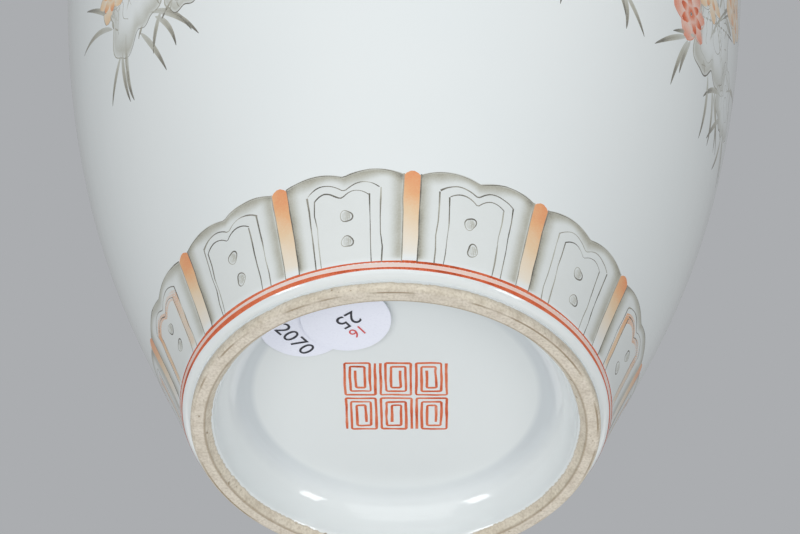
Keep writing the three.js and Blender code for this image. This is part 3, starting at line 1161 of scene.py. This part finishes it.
red_lines = Brushwork("red_lines")
red_line(red_lines, LOW_LINE, 0.68, 0.87, 0.05, 0.55)
red_line(red_lines, HIGH_LINE, 0.62, 0.85, 0.05, 0.15)
blush = np.stack([around, (LOW_LINE + HIGH_LINE) / 2 + 0.02 * np.sin(turns)], 1)
red_lines.stroke(blush, 1.0, 0.22 + 0.04 * np.sin(3 * turns), closed=True, ridge=0.006)
red_line(red_lines, LIP_LINE, 0.7, 0.95, 0.08)
for height in NECK_LINES:
    red_line(red_lines, height, 0.45, 0.9)
red_lines.finish(red_enamel)

# %% [markdown]
# The square mark under the foot
#
# The ceiling of the recess carries a square in iron red. Here it holds a plain key fret: six cells,
# each with one line that winds inwards, turned over from cell to cell as weavers and masons do.
# A line of even width with small rounded corners is what a fine brush gives.

# %% Draw the key fret
FRET_WIDTH = 23.65
FRET_HEIGHT = 23.0
FRET_COLUMNS, FRET_ROWS = 3, 2
FRET_LINE = 0.62
FRET_GAP = 0.58
FRET_TURN = math.radians(1.6)
CORNER = 0.4


def rounded(points, radius):
    """The same path with its corners rounded."""
    points = [np.array(point, float) for point in points]
    path = [points[0]]
    for before, corner, after in zip(points, points[1:], points[2:]):
        back, on = before - corner, after - corner
        cut = min(radius, np.linalg.norm(back) / 2.01, np.linalg.norm(on) / 2.01)
        start = corner + back / np.linalg.norm(back) * cut
        end = corner + on / np.linalg.norm(on) * cut
        for share in np.linspace(0, 1, 6):
            path.append((1 - share) ** 2 * start + 2 * share * (1 - share) * corner + share**2 * end)
    return np.array(path + [points[-1]])


def winding(width, height, pitch):
    """A line that winds inwards in a rectangle, from its lower left corner."""
    left, right, low, high = 0.0, width, 0.0, height
    points = [(left, low), (left, high)]
    while right - left > pitch * 0.9 and high - low > pitch * 0.9:
        points += [(right, high), (right, low)]
        left += pitch
        if right - left < pitch * 0.9:
            break
        points += [(left, low), (left, high - pitch)]
        right, low, high = right - pitch, low + pitch, high - pitch
    return points


def ceiling_place(points):
    """Drawn places, seen from below, as x and y under the ceiling."""
    turned_x = points[:, 0] * math.cos(FRET_TURN) - points[:, 1] * math.sin(FRET_TURN)
    turned_y = points[:, 0] * math.sin(FRET_TURN) + points[:, 1] * math.cos(FRET_TURN)
    return np.stack([turned_x, -turned_y], 1)


fret = Brushwork("key_fret_mark", under_ceiling)
pitch = FRET_LINE + FRET_GAP
cell = ((FRET_WIDTH - 2 * FRET_GAP) / FRET_COLUMNS, (FRET_HEIGHT - FRET_GAP) / FRET_ROWS)
for column in range(FRET_COLUMNS):
    for row in range(FRET_ROWS):
        size = np.array([cell[0] - FRET_LINE, cell[1] - FRET_LINE])
        path = np.array(winding(size[0], size[1], pitch)) - size / 2
        if (column + row) % 2:
            path[:, 0] *= -1
        if row:
            path[:, 1] *= -1
        middle = np.array([(column - 1) * (cell[0] + FRET_GAP), (row - 0.5) * (cell[1] + FRET_GAP)])
        line = along(rounded(path, CORNER), 0.3) + middle
        line += np.stack([waver(len(line), 0.05, 9), waver(len(line), 0.05, 9)], 1)
        press = 1 + waver(len(line), 0.1, 7)
        fret.stroke(ceiling_place(line), FRET_LINE * press, 0.85 + waver(len(line), 0.09, 8))
fret.finish(red_enamel)

# %% [markdown]
# Two paper labels
#
# Two round paper labels are stuck in the recess, one partly over the other. Each is punched from paper
# a quarter of a millimetre thick, and where it reaches the cove it bends with it. A disc is turned
# first, and its points are then laid along the ceiling and the cove, which keeps its width true.

# %% Bend the labels under the floor
LABEL_RADIUS = (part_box("second_paper_label")[1].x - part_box("second_paper_label")[0].x) / MM / 2
PAPER_THICKNESS = 0.25
LABEL_GAP = 0.28
LABEL_RINGS = 24
FIRST_CENTRE = (-21.1, -23.3)
SECOND_CENTRE = (-11.4, -26.1)
half_perimeter = (cove_reach + cove_rise) / 2


def under_floor(across, depth):
    """Radius and height of a place that far along the ceiling and the cove, depth below it."""
    bend = np.maximum(0.0, (across - RECESS_FLAT_RADIUS) / half_perimeter)
    radius, height = np.sin(bend), np.cos(bend)
    length = np.hypot(radius / cove_reach, height / cove_rise)
    return (
        np.minimum(across, RECESS_FLAT_RADIUS) + cove_reach * radius - depth * radius / cove_reach / length,
        COVE_START + cove_rise * height - depth * height / cove_rise / length,
    )


def lay_under_floor(piece, centre, depth):
    """Move a flat piece's points, given in mm, to their places under the floor."""
    for vertex in piece.data.vertices:
        x, y = vertex.co.x / MM + centre[0], vertex.co.y / MM + centre[1]
        across = math.hypot(x, y)
        radius, height = under_floor(across, depth - vertex.co.z / MM)
        vertex.co = (x * radius / across * MM, y * radius / across * MM, float(height) * MM)


def paper_label(name, node, centre, gap):
    rims = [float(r) for r in np.linspace(0, LABEL_RADIUS - 0.04, LABEL_RINGS)]
    outline = [(r, -PAPER_THICKNESS) for r in rims]
    outline += [(LABEL_RADIUS, 0.05 - PAPER_THICKNESS), (LABEL_RADIUS, -0.05)]
    outline += [(r, 0.0) for r in rims[::-1]]
    piece = turned(name, outline, on_axis=True, sides=96)
    lay_under_floor(piece, centre, gap)
    stand_for(piece, node)
    return piece


second_gap = LABEL_GAP + PAPER_THICKNESS + LABEL_GAP
labels = [
    paper_label("lower_paper_label", "first_paper_label", FIRST_CENTRE, LABEL_GAP),
    paper_label("upper_paper_label", "second_paper_label", SECOND_CENTRE, second_gap),
]

# %% [markdown]
# Numbers on the labels
#
# The labels carry plain printed numbers. Blender's own type is made a mesh, cut finely enough to bend,
# turned as it is read from below, and laid on the paper in the same way as the paper on the floor.
# A texture with the numbers would need a picture, and the type needs none.

# %% Print the labels
INK_LIFT = 0.05
INK_THICKNESS = 0.01
TYPE_CUTS = 4


def printed(name, words, size, centre, place, turn, gap):
    """Type on a label, with its own place and turn as seen from below."""
    select_only()
    bpy.ops.object.text_add(location=(0, 0, 0))
    words_data = bpy.context.object.data
    words_data.body = words
    words_data.size = size * MM
    words_data.align_x, words_data.align_y = "CENTER", "CENTER"
    words_data.extrude = INK_THICKNESS * MM
    bpy.ops.object.convert(target="MESH")
    piece = bpy.context.object
    piece.name = piece.data.name = name
    bpy.ops.object.mode_set(mode="EDIT")
    bpy.ops.mesh.select_all(action="SELECT")
    bpy.ops.mesh.remove_doubles(threshold=WELD)
    bpy.ops.mesh.quads_convert_to_tris()
    bpy.ops.mesh.subdivide(number_cuts=TYPE_CUTS)
    bpy.ops.object.mode_set(mode="OBJECT")
    cos, sin = math.cos(math.radians(turn)), math.sin(math.radians(turn))
    for vertex in piece.data.vertices:
        x, y = vertex.co.x, vertex.co.y
        vertex.co.x, vertex.co.y = x * cos - y * sin + place[0] * MM, -(x * sin + y * cos + place[1] * MM)
    lay_under_floor(piece, centre, gap + PAPER_THICKNESS + INK_LIFT)
    face_outwards(piece)
    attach(piece, "root")
    print(f"{name}: {words}, {len(piece.data.polygons)} faces")
    return piece


black_print = [
    printed("lower_label_number", "2070", 5.4, FIRST_CENTRE, (-1.8, -4.4), -51, LABEL_GAP),
    printed("upper_label_number", "25", 5.6, SECOND_CENTRE, (0.4, 0.0), 218, second_gap),
]
red_print = [printed("upper_label_red_number", "16", 4.0, SECOND_CENTRE, (2.6, -3.6), 218, second_gap)]

# %% [markdown]
# Paper and ink
#
# Paper is felted fibre, and its fine strands show as a very faint mottle. Printing ink sits on it in
# an even film that is broken only where fibres took less. Both are dull beside the glaze, and that
# difference in shine is what makes them read as paper and print. A fibre is about 0.03 mm thick, too
# fine to show, so the mottle and the breaks in the ink are drawn with grains of about half a millimetre.

# %% Make paper and ink
PAPER_WHITE, PAPER_AGED, PAPER_FIBRE = "#EEF1FC", "#E8EBF8", "#D8DBEA"
FIBRE_SIZE, AGE_SIZE, PATCH_SIZE = 0.5, 9, 0.4
PAPER_ROUGHNESS, INK_ROUGHNESS, PAPER_IOR = 0.55, 0.6, 1.45


# Label paper: wood pulp with a clay coating, rolled smooth. The eye sees a flat white with a violet
# cast, duller than the glaze round it, with hardly visible fibres.
def label_paper():
    material, add = new_material("coated_label_paper")
    place = add("TexCoord", out="Object")
    fibre = add("TexNoise", grains(place, FIBRE_SIZE, 4.0))
    age = add("TexNoise", grains(place, AGE_SIZE, 2.0))
    toned = add("Mix", {0: age, MIX_A: PAPER_WHITE, MIX_B: PAPER_AGED}, **COLOURS)
    strands = add("MapRange", [fibre, 0.5, 0.8, 0.0, 0.35])
    colour = add("Mix", {0: strands, MIX_A: toned, MIX_B: PAPER_FIBRE}, **COLOURS)
    relief = add("Bump", {"Height": fibre, "Strength": 0.15, "Distance": 0.02 * MM})
    finish = {"Roughness": PAPER_ROUGHNESS, "IOR": PAPER_IOR, "Normal": relief}
    surface = add("BsdfPrincipled", {"Base Color": colour, **finish})
    add("OutputMaterial", [surface])
    return material


# Printing ink is pigment pressed into the paper. The eye sees a dull, even dark or red, a little
# broken where the fibres took less.
def printing_ink(name, full, thin):
    material, add = new_material(name)
    place = add("TexCoord", out="Object")
    patches = add("TexNoise", grains(place, PATCH_SIZE, 3.0))
    share = add("MapRange", [patches, 0.5, 0.75, 0.0, 0.6])
    colour = add("Mix", {0: share, MIX_A: full, MIX_B: thin}, **COLOURS)
    surface = add("BsdfPrincipled", {"Base Color": colour, "Roughness": INK_ROUGHNESS, "IOR": PAPER_IOR})
    add("OutputMaterial", [surface])
    return material


paper = label_paper()
black_ink = printing_ink("black_printing_ink", "#2A2B33", "#5A5C68")
red_ink = printing_ink("red_printing_ink", "#D2504F", "#E08C8C")
for pieces, material in ((labels, paper), (black_print, black_ink), (red_print, red_ink)):
    for piece in pieces:
        piece.data.materials.append(material)
        print(piece.name, "in", material.name)

# %% [markdown]
# The painted garden
#
# Round the body the painter set small gardens with white space between them: a hollow garden rock,
# bamboo, long grass leaves and flowers in orange and iron red, with a butterfly or two above. Each is
# built from the same few strokes a painter learns first: the leaf, the stem, the petal, and the shaded
# rock. Strokes are placed by a seeded hand, so that no two gardens match.

# %% Learn the painter's strokes
garden_hand = np.random.default_rng(83)
LEAF_POINTS = 15


def between(low, high):
    return garden_hand.uniform(low, high)


def beside(spot, across, up):
    """Places on the wall, a way across and up, in mm, from a spot given as angle and height."""
    height = spot[1] + np.asarray(up, float)
    return np.stack([spot[0] + np.degrees(np.asarray(across, float) / outer(height)), height], -1)


def sweep(direction, length, bend, count):
    """A line in mm that starts in a direction and bends evenly."""
    heading = np.radians(direction + bend * np.linspace(0, 1, count))
    step = length / (count - 1)
    across = np.concatenate([[0], np.cumsum(np.cos(heading[:-1]) * step)])
    up = np.concatenate([[0], np.cumsum(np.sin(heading[:-1]) * step)])
    return across, up


def leaf(work, spot, direction, length, width, bend=20.0, wet=(0.4, 0.85)):
    """One pressed stroke: narrow, broad, then lifted to a darker point."""
    share = np.linspace(0, 1, LEAF_POINTS)
    path = beside(spot, *sweep(direction, length, bend, LEAF_POINTS))
    press = width * np.sin(math.pi * share**0.75) ** 0.8 + 0.12
    work.stroke(path, press, wet[0] + (wet[1] - wet[0]) * share**1.5)


def stem(work, spot, direction, length, thick, bend=0.0, wet=0.6, thin=0.5):
    """A stem or twig that thins as it grows; returns its places."""
    count = max(8, int(length / 1.6))
    across, up = sweep(direction, length, bend, count)
    across = across + np.convolve(garden_hand.normal(0, 0.12, count), np.ones(4) / 4, "same")
    path = beside(spot, across, up)
    share = np.linspace(0, 1, count)
    press = thick * (1 - (1 - thin) * share) * (1 + 0.12 * garden_hand.normal(0, 1, count))
    work.stroke(path, press, wet + 0.14 * np.sin(9 * share + spot[0]))
    return path


across, up = sweep(0, 10, 90, 50)
print(f"10 mm that bend by 90 degrees end {across[-1]:.1f} mm across and {up[-1]:.1f} mm up")

# %% [markdown]
# Blossoms and buds
#
# A blossom is two rings of petals round a heart of dark stamens. Each petal is one stroke, pressed until
# it is as wide as it should be, and its outline goes round it with a fine brush. The stroke is wettest
# at its foot and tip, so petals look rounded.

# %% Learn blossoms and buds


def petal_shape(share):
    """The width of a petal along its length, as a share of its breadth."""
    return np.sin(math.pi * (0.1 + 0.86 * share)) ** 0.75


def petal_line(work, spot, direction, size, breadth, wet):
    """The outline of one petal, drawn round its edge."""
    share = np.linspace(0, 1, LEAF_POINTS)
    half = 0.5 * breadth * petal_shape(share)
    lengthwise = np.concatenate([share, share[::-1]]) * size
    sidewise = np.concatenate([half, -half[::-1]])
    heading = math.radians(direction)
    across = lengthwise * math.cos(heading) - sidewise * math.sin(heading)
    up = lengthwise * math.sin(heading) + sidewise * math.cos(heading)
    work.stroke(beside(spot, across, up), 0.22, wet, closed=True)


def blossom(petals, lines, ink, spot, size, count=6):
    """Two rings of washed and outlined petals round a heart of dark stamens."""
    start = between(0, 360)
    for scale, shift, load in ((1.0, 0, 0.66), (0.62, 180 / count, 1.08)):
        for number in range(count):
            direction = start + shift + 360 * number / count + garden_hand.normal(0, 4)
            length = size * scale * between(0.88, 1.08)
            breadth = 5.2 * length / count * between(0.9, 1.1)
            heading = math.radians(direction)
            root = beside(spot, 0.12 * length * math.cos(heading), 0.12 * length * math.sin(heading))
            share = np.linspace(0, 1, 13)
            width = breadth * petal_shape(share)
            wet = load * (0.3 + 0.9 * abs(share - 0.35) ** 0.8)
            path = beside(root, *sweep(direction, length, 0, 13))
            petals.stroke(path, width, wet, across=5, ridge=0.014 + 0.01 * (scale < 1))
            petal_line(lines, root, direction, length, breadth, 0.75 + 0.1 * (scale < 1))
    for number in range(9):
        stem(ink, spot, start + 40 * number, 0.26 * size, 0.18, wet=0.85)


def bud(petals, ink, spot, size, direction):
    leaf(petals, spot, direction - 14, size, 0.5 * size, 20, (0.5, 0.9))
    leaf(petals, spot, direction + 14, size, 0.5 * size, -20, (0.45, 0.8))
    leaf(ink, spot, direction - 40, 0.5 * size, 0.16 * size, 30)
    leaf(ink, spot, direction + 40, 0.5 * size, 0.16 * size, -30)


share = np.linspace(0, 1, 101)
print(f"a petal is widest at {share[petal_shape(share).argmax()]:.2f} of its length")

# %% [markdown]
# Rocks
#
# A garden rock is a lobed outline with a hole through it, two inner lines, and a shade that fades to
# white on its lit side. The lobes come from three waves round the outline, because a waterworn stone
# has no corners. Short dabs of moss are set round its edge.

# %% Paint the rocks


def rock(ink, shade, spot, width, height):
    """A hollow garden rock: a lobed outline, inner lines, and shade that fades to white."""
    turn = np.linspace(0, math.tau, 97)
    seeds = garden_hand.uniform(0, math.tau, 4)
    lobes = 1 + 0.14 * np.sin(3 * turn + seeds[0]) + 0.09 * np.sin(5 * turn + seeds[1])
    lobes = lobes + 0.05 * np.sin(11 * turn + seeds[2])
    across, up = 0.5 * width * lobes * np.cos(turn), 0.5 * height * lobes * np.sin(turn)
    press = 0.36 * (1 + 0.45 * np.sin(2 * turn + seeds[3]))
    once = turn[:-1]
    outline = beside(spot, across[:-1], up[:-1])
    ink.stroke(outline, press[:-1], 0.72 + 0.2 * np.sin(3 * once), closed=True)
    for scale in (0.72, 0.46):
        part = slice(int(between(0, 30)), int(between(52, 84)))
        ink.stroke(beside(spot, scale * across[part], scale * up[part]), 0.26, 0.6)
    hole = 0.16 * min(width, height) * (1 + 0.2 * np.sin(2 * once + seeds[1]))
    rim = beside(spot, hole * np.cos(once) + 0.1 * width, hole * np.sin(once))
    ink.stroke(rim, 0.24, 0.75, closed=True)
    reach = np.linspace(0.06, 0.985, 12)[:, None]
    lit = 0.5 + 0.5 * np.cos(turn - math.radians(250) + 0.6 * np.sin(3 * turn))
    wet = (0.02 + 0.42 * smoothstep((reach - 0.45) * 1.7)) * (0.3 + 0.7 * lit)
    shade.wash(beside(spot, reach * across, reach * up), wet * smoothstep((1 - reach) * 30))
    for number in range(9):
        place = between(0, math.tau)
        edge = beside(spot, 0.42 * width * math.cos(place), 0.42 * height * math.sin(place))
        leaf(ink, edge, between(200, 330), between(1.5, 3.5), 0.5, 30, (0.5, 0.75))


# %% [markdown]
# Bamboo and butterflies
#
# A cane of bamboo is painted joint by joint, each a short grey stem with a dark line over the gap, and
# every joint past the lowest sends out one twig, now left, now right, with groups of hanging leaves.
# A butterfly is four leaf strokes with outlines, two feelers and a body.

# %% Paint bamboo and butterflies


def bamboo(ink, shade, spot, height, lean):
    """A jointed cane with drooping groups of leaves."""
    joint = between(16, 20)
    place = np.array(spot, float)
    risen = 0.0
    side = 1
    while risen < height:
        path = stem(shade, place, 90 + lean, joint, 2.3 - 1.3 * risen / height, 0, 0.55, 0.95)
        place = path[-1] + np.array([0, 0.4])
        stem(ink, beside(place, -1.3, 0), 8, 2.6, 0.36, -20, 0.85, 0.9)
        risen += joint + 0.4
        joint *= 0.96
        if risen < 0.22 * height:
            continue
        side = -side
        twig = stem(ink, place, 90 - side * 50, between(12, 18), 0.42, -side * 30, 0.65)
        for root in (twig[-1], twig[2 * len(twig) // 3], twig[len(twig) // 3]):
            for number in range(int(garden_hand.integers(3, 6))):
                direction = -90 + side * between(-18, 68)
                length, width = between(10, 18), between(1.7, 2.6)
                leaf(ink, root, direction, length, width, -9 * side, (between(0.3, 0.5), between(0.7, 1.0)))
    for number in range(4):
        leaf(ink, place, 90 + between(-60, 60), between(8, 14), 1.8, 15)


def butterfly(petals, ink, spot, size, turn):
    for side in (-1, 1):
        for direction, length, width in ((55, 1.0, 0.55), (-20, 0.65, 0.45)):
            heading = turn + (direction if side > 0 else 180 - direction)
            leaf(petals, spot, heading, length * size, width * size, 12 * side, (0.3, 0.9))
            petal_line(ink, spot, heading, length * size, width * size, 0.7)
        stem(ink, spot, turn + 90 - side * 18, 0.7 * size, 0.16, -side * 30, 0.8)
    leaf(ink, beside(spot, 0, 0.25 * size), turn - 90, 0.7 * size, 0.14 * size, 0, (0.8, 0.95))


# %% [markdown]
# Flowers and long grass
#
# A flowering stem bends a little, has leaves on either side, a bud on a twig and a blossom at its end.
# Red blossoms are outlined in their own red, orange ones in grey. Grass hangs over the rock's foot and
# ends in dark tips, because the brush leaves most enamel where it is lifted.

# %% Grow flowers and grass


def flowering(ink, petals, spot, direction, length, size):
    """A stem with leaves, a blossom at its end and a bud on the way."""
    path = stem(ink, spot, direction, length, 0.8, between(-30, 30), 0.6)
    for place in path[4:-4:4]:
        side = garden_hand.choice([-1, 1])
        turn = direction + side * between(35, 70)
        leaf(ink, place, turn, between(6, 10), 2.6, -25 * side)
    lines = red_petals if petals is red_petals else ink
    blossom(petals, lines, ink, path[-1], size, int(garden_hand.integers(5, 8)))
    half = path[len(path) // 2]
    twig = stem(ink, half, direction + garden_hand.choice([-1, 1]) * 45, 0.3 * length, 0.45, 10, 0.6)
    bud(petals, ink, twig[-1], 0.6 * size, direction)


def trailing_grass(ink, spot, count, reach):
    """Long leaves that hang from the rock's foot to dark tips."""
    for number in range(count):
        side = -1 if number % 2 else 1
        root = beside(spot, side * between(0, 10), between(-3, 3))
        direction, length = -90 + side * between(15, 75), between(0.6, 1) * reach
        leaf(ink, root, direction, length, 1.3, -side * between(10, 50), (0.35, 1.0))


# %% [markdown]
# Setting out the gardens
#
# Six gardens stand round the body, each with two rocks, grass and flowers. Three of them are tall, with
# bamboo and two butterflies, and the others have taller flowers and one butterfly. A last few flowers
# hang low beside the two gardens at the front. All of them share five pieces of brushwork, so that one
# enamel can be painted at a time.

# %% Set out the gardens
GARDEN_FOOT = {-52.0: 82.0, 66.0: 90.0, 22.0: 87.0, 120.0: 84.0, 172.0: 88.0, -118.0: 82.0}
TALL_GARDENS = (-52.0, 66.0, 172.0)


def garden(ink, canes, shade, petals, reds, angle, foot, tall):
    spot = np.array([angle, foot])
    rock(ink, shade, beside(spot, 0, 14), 24, 33)
    rock(ink, shade, beside(spot, 17, 6), 17, 19)
    trailing_grass(ink, beside(spot, -3, 1), 8, 19)
    trailing_grass(ink, beside(spot, 16, 0), 5, 15)
    for number in range(9):
        root = beside(spot, between(-13, 17), 9)
        leaf(ink, root, between(35, 145), between(20, 38), 1.5, between(-50, 50), (0.35, 0.9))
    for number, (lean, length) in enumerate([(34, 16), (-38, 20), (-6, 34), (16, 46)]):
        work = reds if number % 2 else petals
        flowering(ink, work, beside(spot, 2 - 5 * number, 20), 90 - lean, length + between(-3, 5), 9.0)
    if tall:
        bamboo(canes, shade, beside(spot, -10, 22), between(125, 140), 3)
        bamboo(canes, shade, beside(spot, 1, 24), between(85, 100), -8)
        butterfly(petals, ink, beside(spot, 38, 100), 11, -20)
        butterfly(reds, ink, beside(spot, 48, 72), 8, 25)
    else:
        flowering(ink, petals, beside(spot, 1, 26), 84, 82, 10.0)
        flowering(ink, reds, beside(spot, 6, 22), 104, 60, 8.5)
        butterfly(petals, ink, beside(spot, -26, 112), 9, 15)


grass_and_lines = Brushwork("garden_lines")
bamboo_leaves = Brushwork("garden_bamboo")
rock_shade = Brushwork("garden_shade")
orange_petals = Brushwork("garden_orange_flowers")
red_petals = Brushwork("garden_red_flowers")
for angle, foot in GARDEN_FOOT.items():
    works = (grass_and_lines, bamboo_leaves, rock_shade, orange_petals, red_petals)
    garden(*works, angle, foot, angle in TALL_GARDENS)

# Where flowers hang low: colour, angle, height and size.
LOW_FLOWERS = (
    (orange_petals, -58.0, 101.0, 6.5),
    (red_petals, 57.0, 97.0, 7.5),
    (orange_petals, 62.0, 112.0, 7.0),
)
for petals, angle, height, size in LOW_FLOWERS:
    lines = red_petals if petals is red_petals else grass_and_lines
    stem(grass_and_lines, (angle, height), 70, 18, 0.6, 20, 0.6)
    blossom(petals, lines, grass_and_lines, np.array([angle, height]), size, 6)

for work, colour in (
    (grass_and_lines, grey_enamel),
    (bamboo_leaves, grey_enamel),
    (rock_shade, grey_enamel),
    (orange_petals, orange_enamel),
    (red_petals, red_enamel),
):
    work.finish(colour)

# %% [markdown]
# The floor
#
# The vase stands on a pale floor, large enough that its edges lie far away. The photograph looks up at
# the foot, where a real floor would be in the way, so this one shows only to a camera above it and lets
# light through. Is Camera Ray and the side that a ray meets tell it which it is.

# %% Lay the floor
FLOOR_HALF = 9.0
FLOOR_COLOUR = "#D2D4D6"

select_only()
bpy.ops.mesh.primitive_plane_add(size=2 * FLOOR_HALF, location=(0, 0, 0))
ground = bpy.context.object
ground.name = "studio_floor"
material, add = new_material("pale_floor_seen_from_above")
camera_ray = add("LightPath", out="Is Camera Ray")
from_below = add("NewGeometry", out="Backfacing")
above = add("Math", [1.0, from_below], operation="SUBTRACT")
shown = add("Math", [camera_ray, above], operation="MULTIPLY")
matt = add("BsdfDiffuse", {"Color": FLOOR_COLOUR})
clear = add("BsdfTransparent")
add("OutputMaterial", [add("MixShader", [shown, clear, matt])])
ground.data.materials.append(material)
print("floor:", 2 * FLOOR_HALF, "m square")

# %% [markdown]
# The air of the studio
#
# Glazed ware shows every lamp as a highlight, so much of the light is air: a plain world, the same from
# all sides. The camera itself sees a grey backdrop in its place, and Is Camera Ray tells them apart.

# %% Fill the studio with light
WORLD_LIGHT = 0.37
AIR_COLOUR = "#F4F6F8"
BACKDROP_COLOUR = "#ABADB0"

world = bpy.data.worlds.new("studio_air")
bpy.context.scene.world = world
world.use_nodes = True
world.node_tree.nodes.clear()
add = partial(add_node, world.node_tree)
light = add("Background", [AIR_COLOUR, WORLD_LIGHT])
backdrop = add("Background", [BACKDROP_COLOUR, 1.0])
camera_ray = add("LightPath", out="Is Camera Ray")
add("OutputWorld", [add("MixShader", [camera_ray, light, backdrop])])
print("world light:", WORLD_LIGHT)

# %% [markdown]
# The softboxes
#
# Large softboxes do the rest. Two narrow ones beside the camera make the pair of highlights in the
# recess, and one below the level of the floor fills the back of the vase, where the photograph's
# camera sees little of it reflected. Each is given by how much of its own white a white face shows
# when turned to it, which is easier to judge than watts.

# %% Place the softboxes
LIT_MIDDLE = Vector((0, 0, 60 * MM))


def softbox(name, towards, distance, width, height, share):
    """An area lamp that lights a white face turned to it to the given share of its own white."""
    direction = Vector(towards).normalized()
    bpy.ops.object.light_add(type="AREA", location=LIT_MIDDLE + direction * distance)
    lamp = bpy.context.object
    lamp.name = name
    lamp.data.shape = "RECTANGLE"
    lamp.data.size, lamp.data.size_y = width, height
    lamp.data.energy = share * math.pi**2 * distance**2
    lamp.rotation_euler = direction.to_track_quat("Z", "Y").to_euler()
    print(f"{name}: {lamp.data.energy:.1f} W")


softbox("left_softbox", (-0.68, -0.44, -0.6), 1.7, 0.35, 0.5, 0.15)
softbox("right_softbox", (0.68, -0.44, -0.58), 1.7, 0.35, 0.5, 0.15)
softbox("low_front_softbox", (-0.09, -0.8, -0.6), 2.5, 2.8, 2.4, 0.45)
softbox("high_front_softbox", (0.0, -0.7, 0.71), 2.2, 1.2, 0.8, 0.5)
softbox("low_softbox", (0.0, 0.2, -1.0), 2.0, 2.5, 2.5, 0.22)
softbox("top_softbox", (0.1, 0.05, 1.0), 2.4, 1.6, 1.6, 0.3)
softbox("low_back_softbox", (0.0, 1.0, -0.36), 3.2, 5.0, 1.7, 0.29)

# %% [markdown]
# The camera
#
# The photograph shows the vase from below and in front, close to the foot. Here the vase stands upright,
# and the camera looks up at it from the same place, with the same lens and tilt. Place, lens and tilt
# were worked out from the circles of the foot, so they are given as numbers and not aimed by eye.

# %% Set the camera
CAMERA_PLACE = (0.30, -366.04, -316.96)
CAMERA_LENS = 96.66
CAMERA_RISE = 0.79158
CAMERA_ROLL = 0.01965
SENSOR_WIDTH = 36.0
NEAREST_SEEN = 0.01

ahead = Vector((0, math.cos(CAMERA_RISE), math.sin(CAMERA_RISE)))
right = Vector((1, 0, 0))
up = right.cross(ahead)
rolled_right = math.cos(CAMERA_ROLL) * right + math.sin(CAMERA_ROLL) * up
rolled_up = math.cos(CAMERA_ROLL) * up - math.sin(CAMERA_ROLL) * right
bpy.ops.object.camera_add(location=Vector(CAMERA_PLACE) * MM)
camera = bpy.context.object
camera.rotation_euler = Matrix((rolled_right, rolled_up, -ahead)).transposed().to_euler()
camera.data.lens = CAMERA_LENS
camera.data.sensor_width = SENSOR_WIDTH
camera.data.clip_start = NEAREST_SEEN
bpy.context.scene.camera = camera
bpy.context.scene.view_settings.view_transform = "Standard"
print(f"camera: {CAMERA_LENS} mm lens, {camera.location.length:.3f} m from the foot")
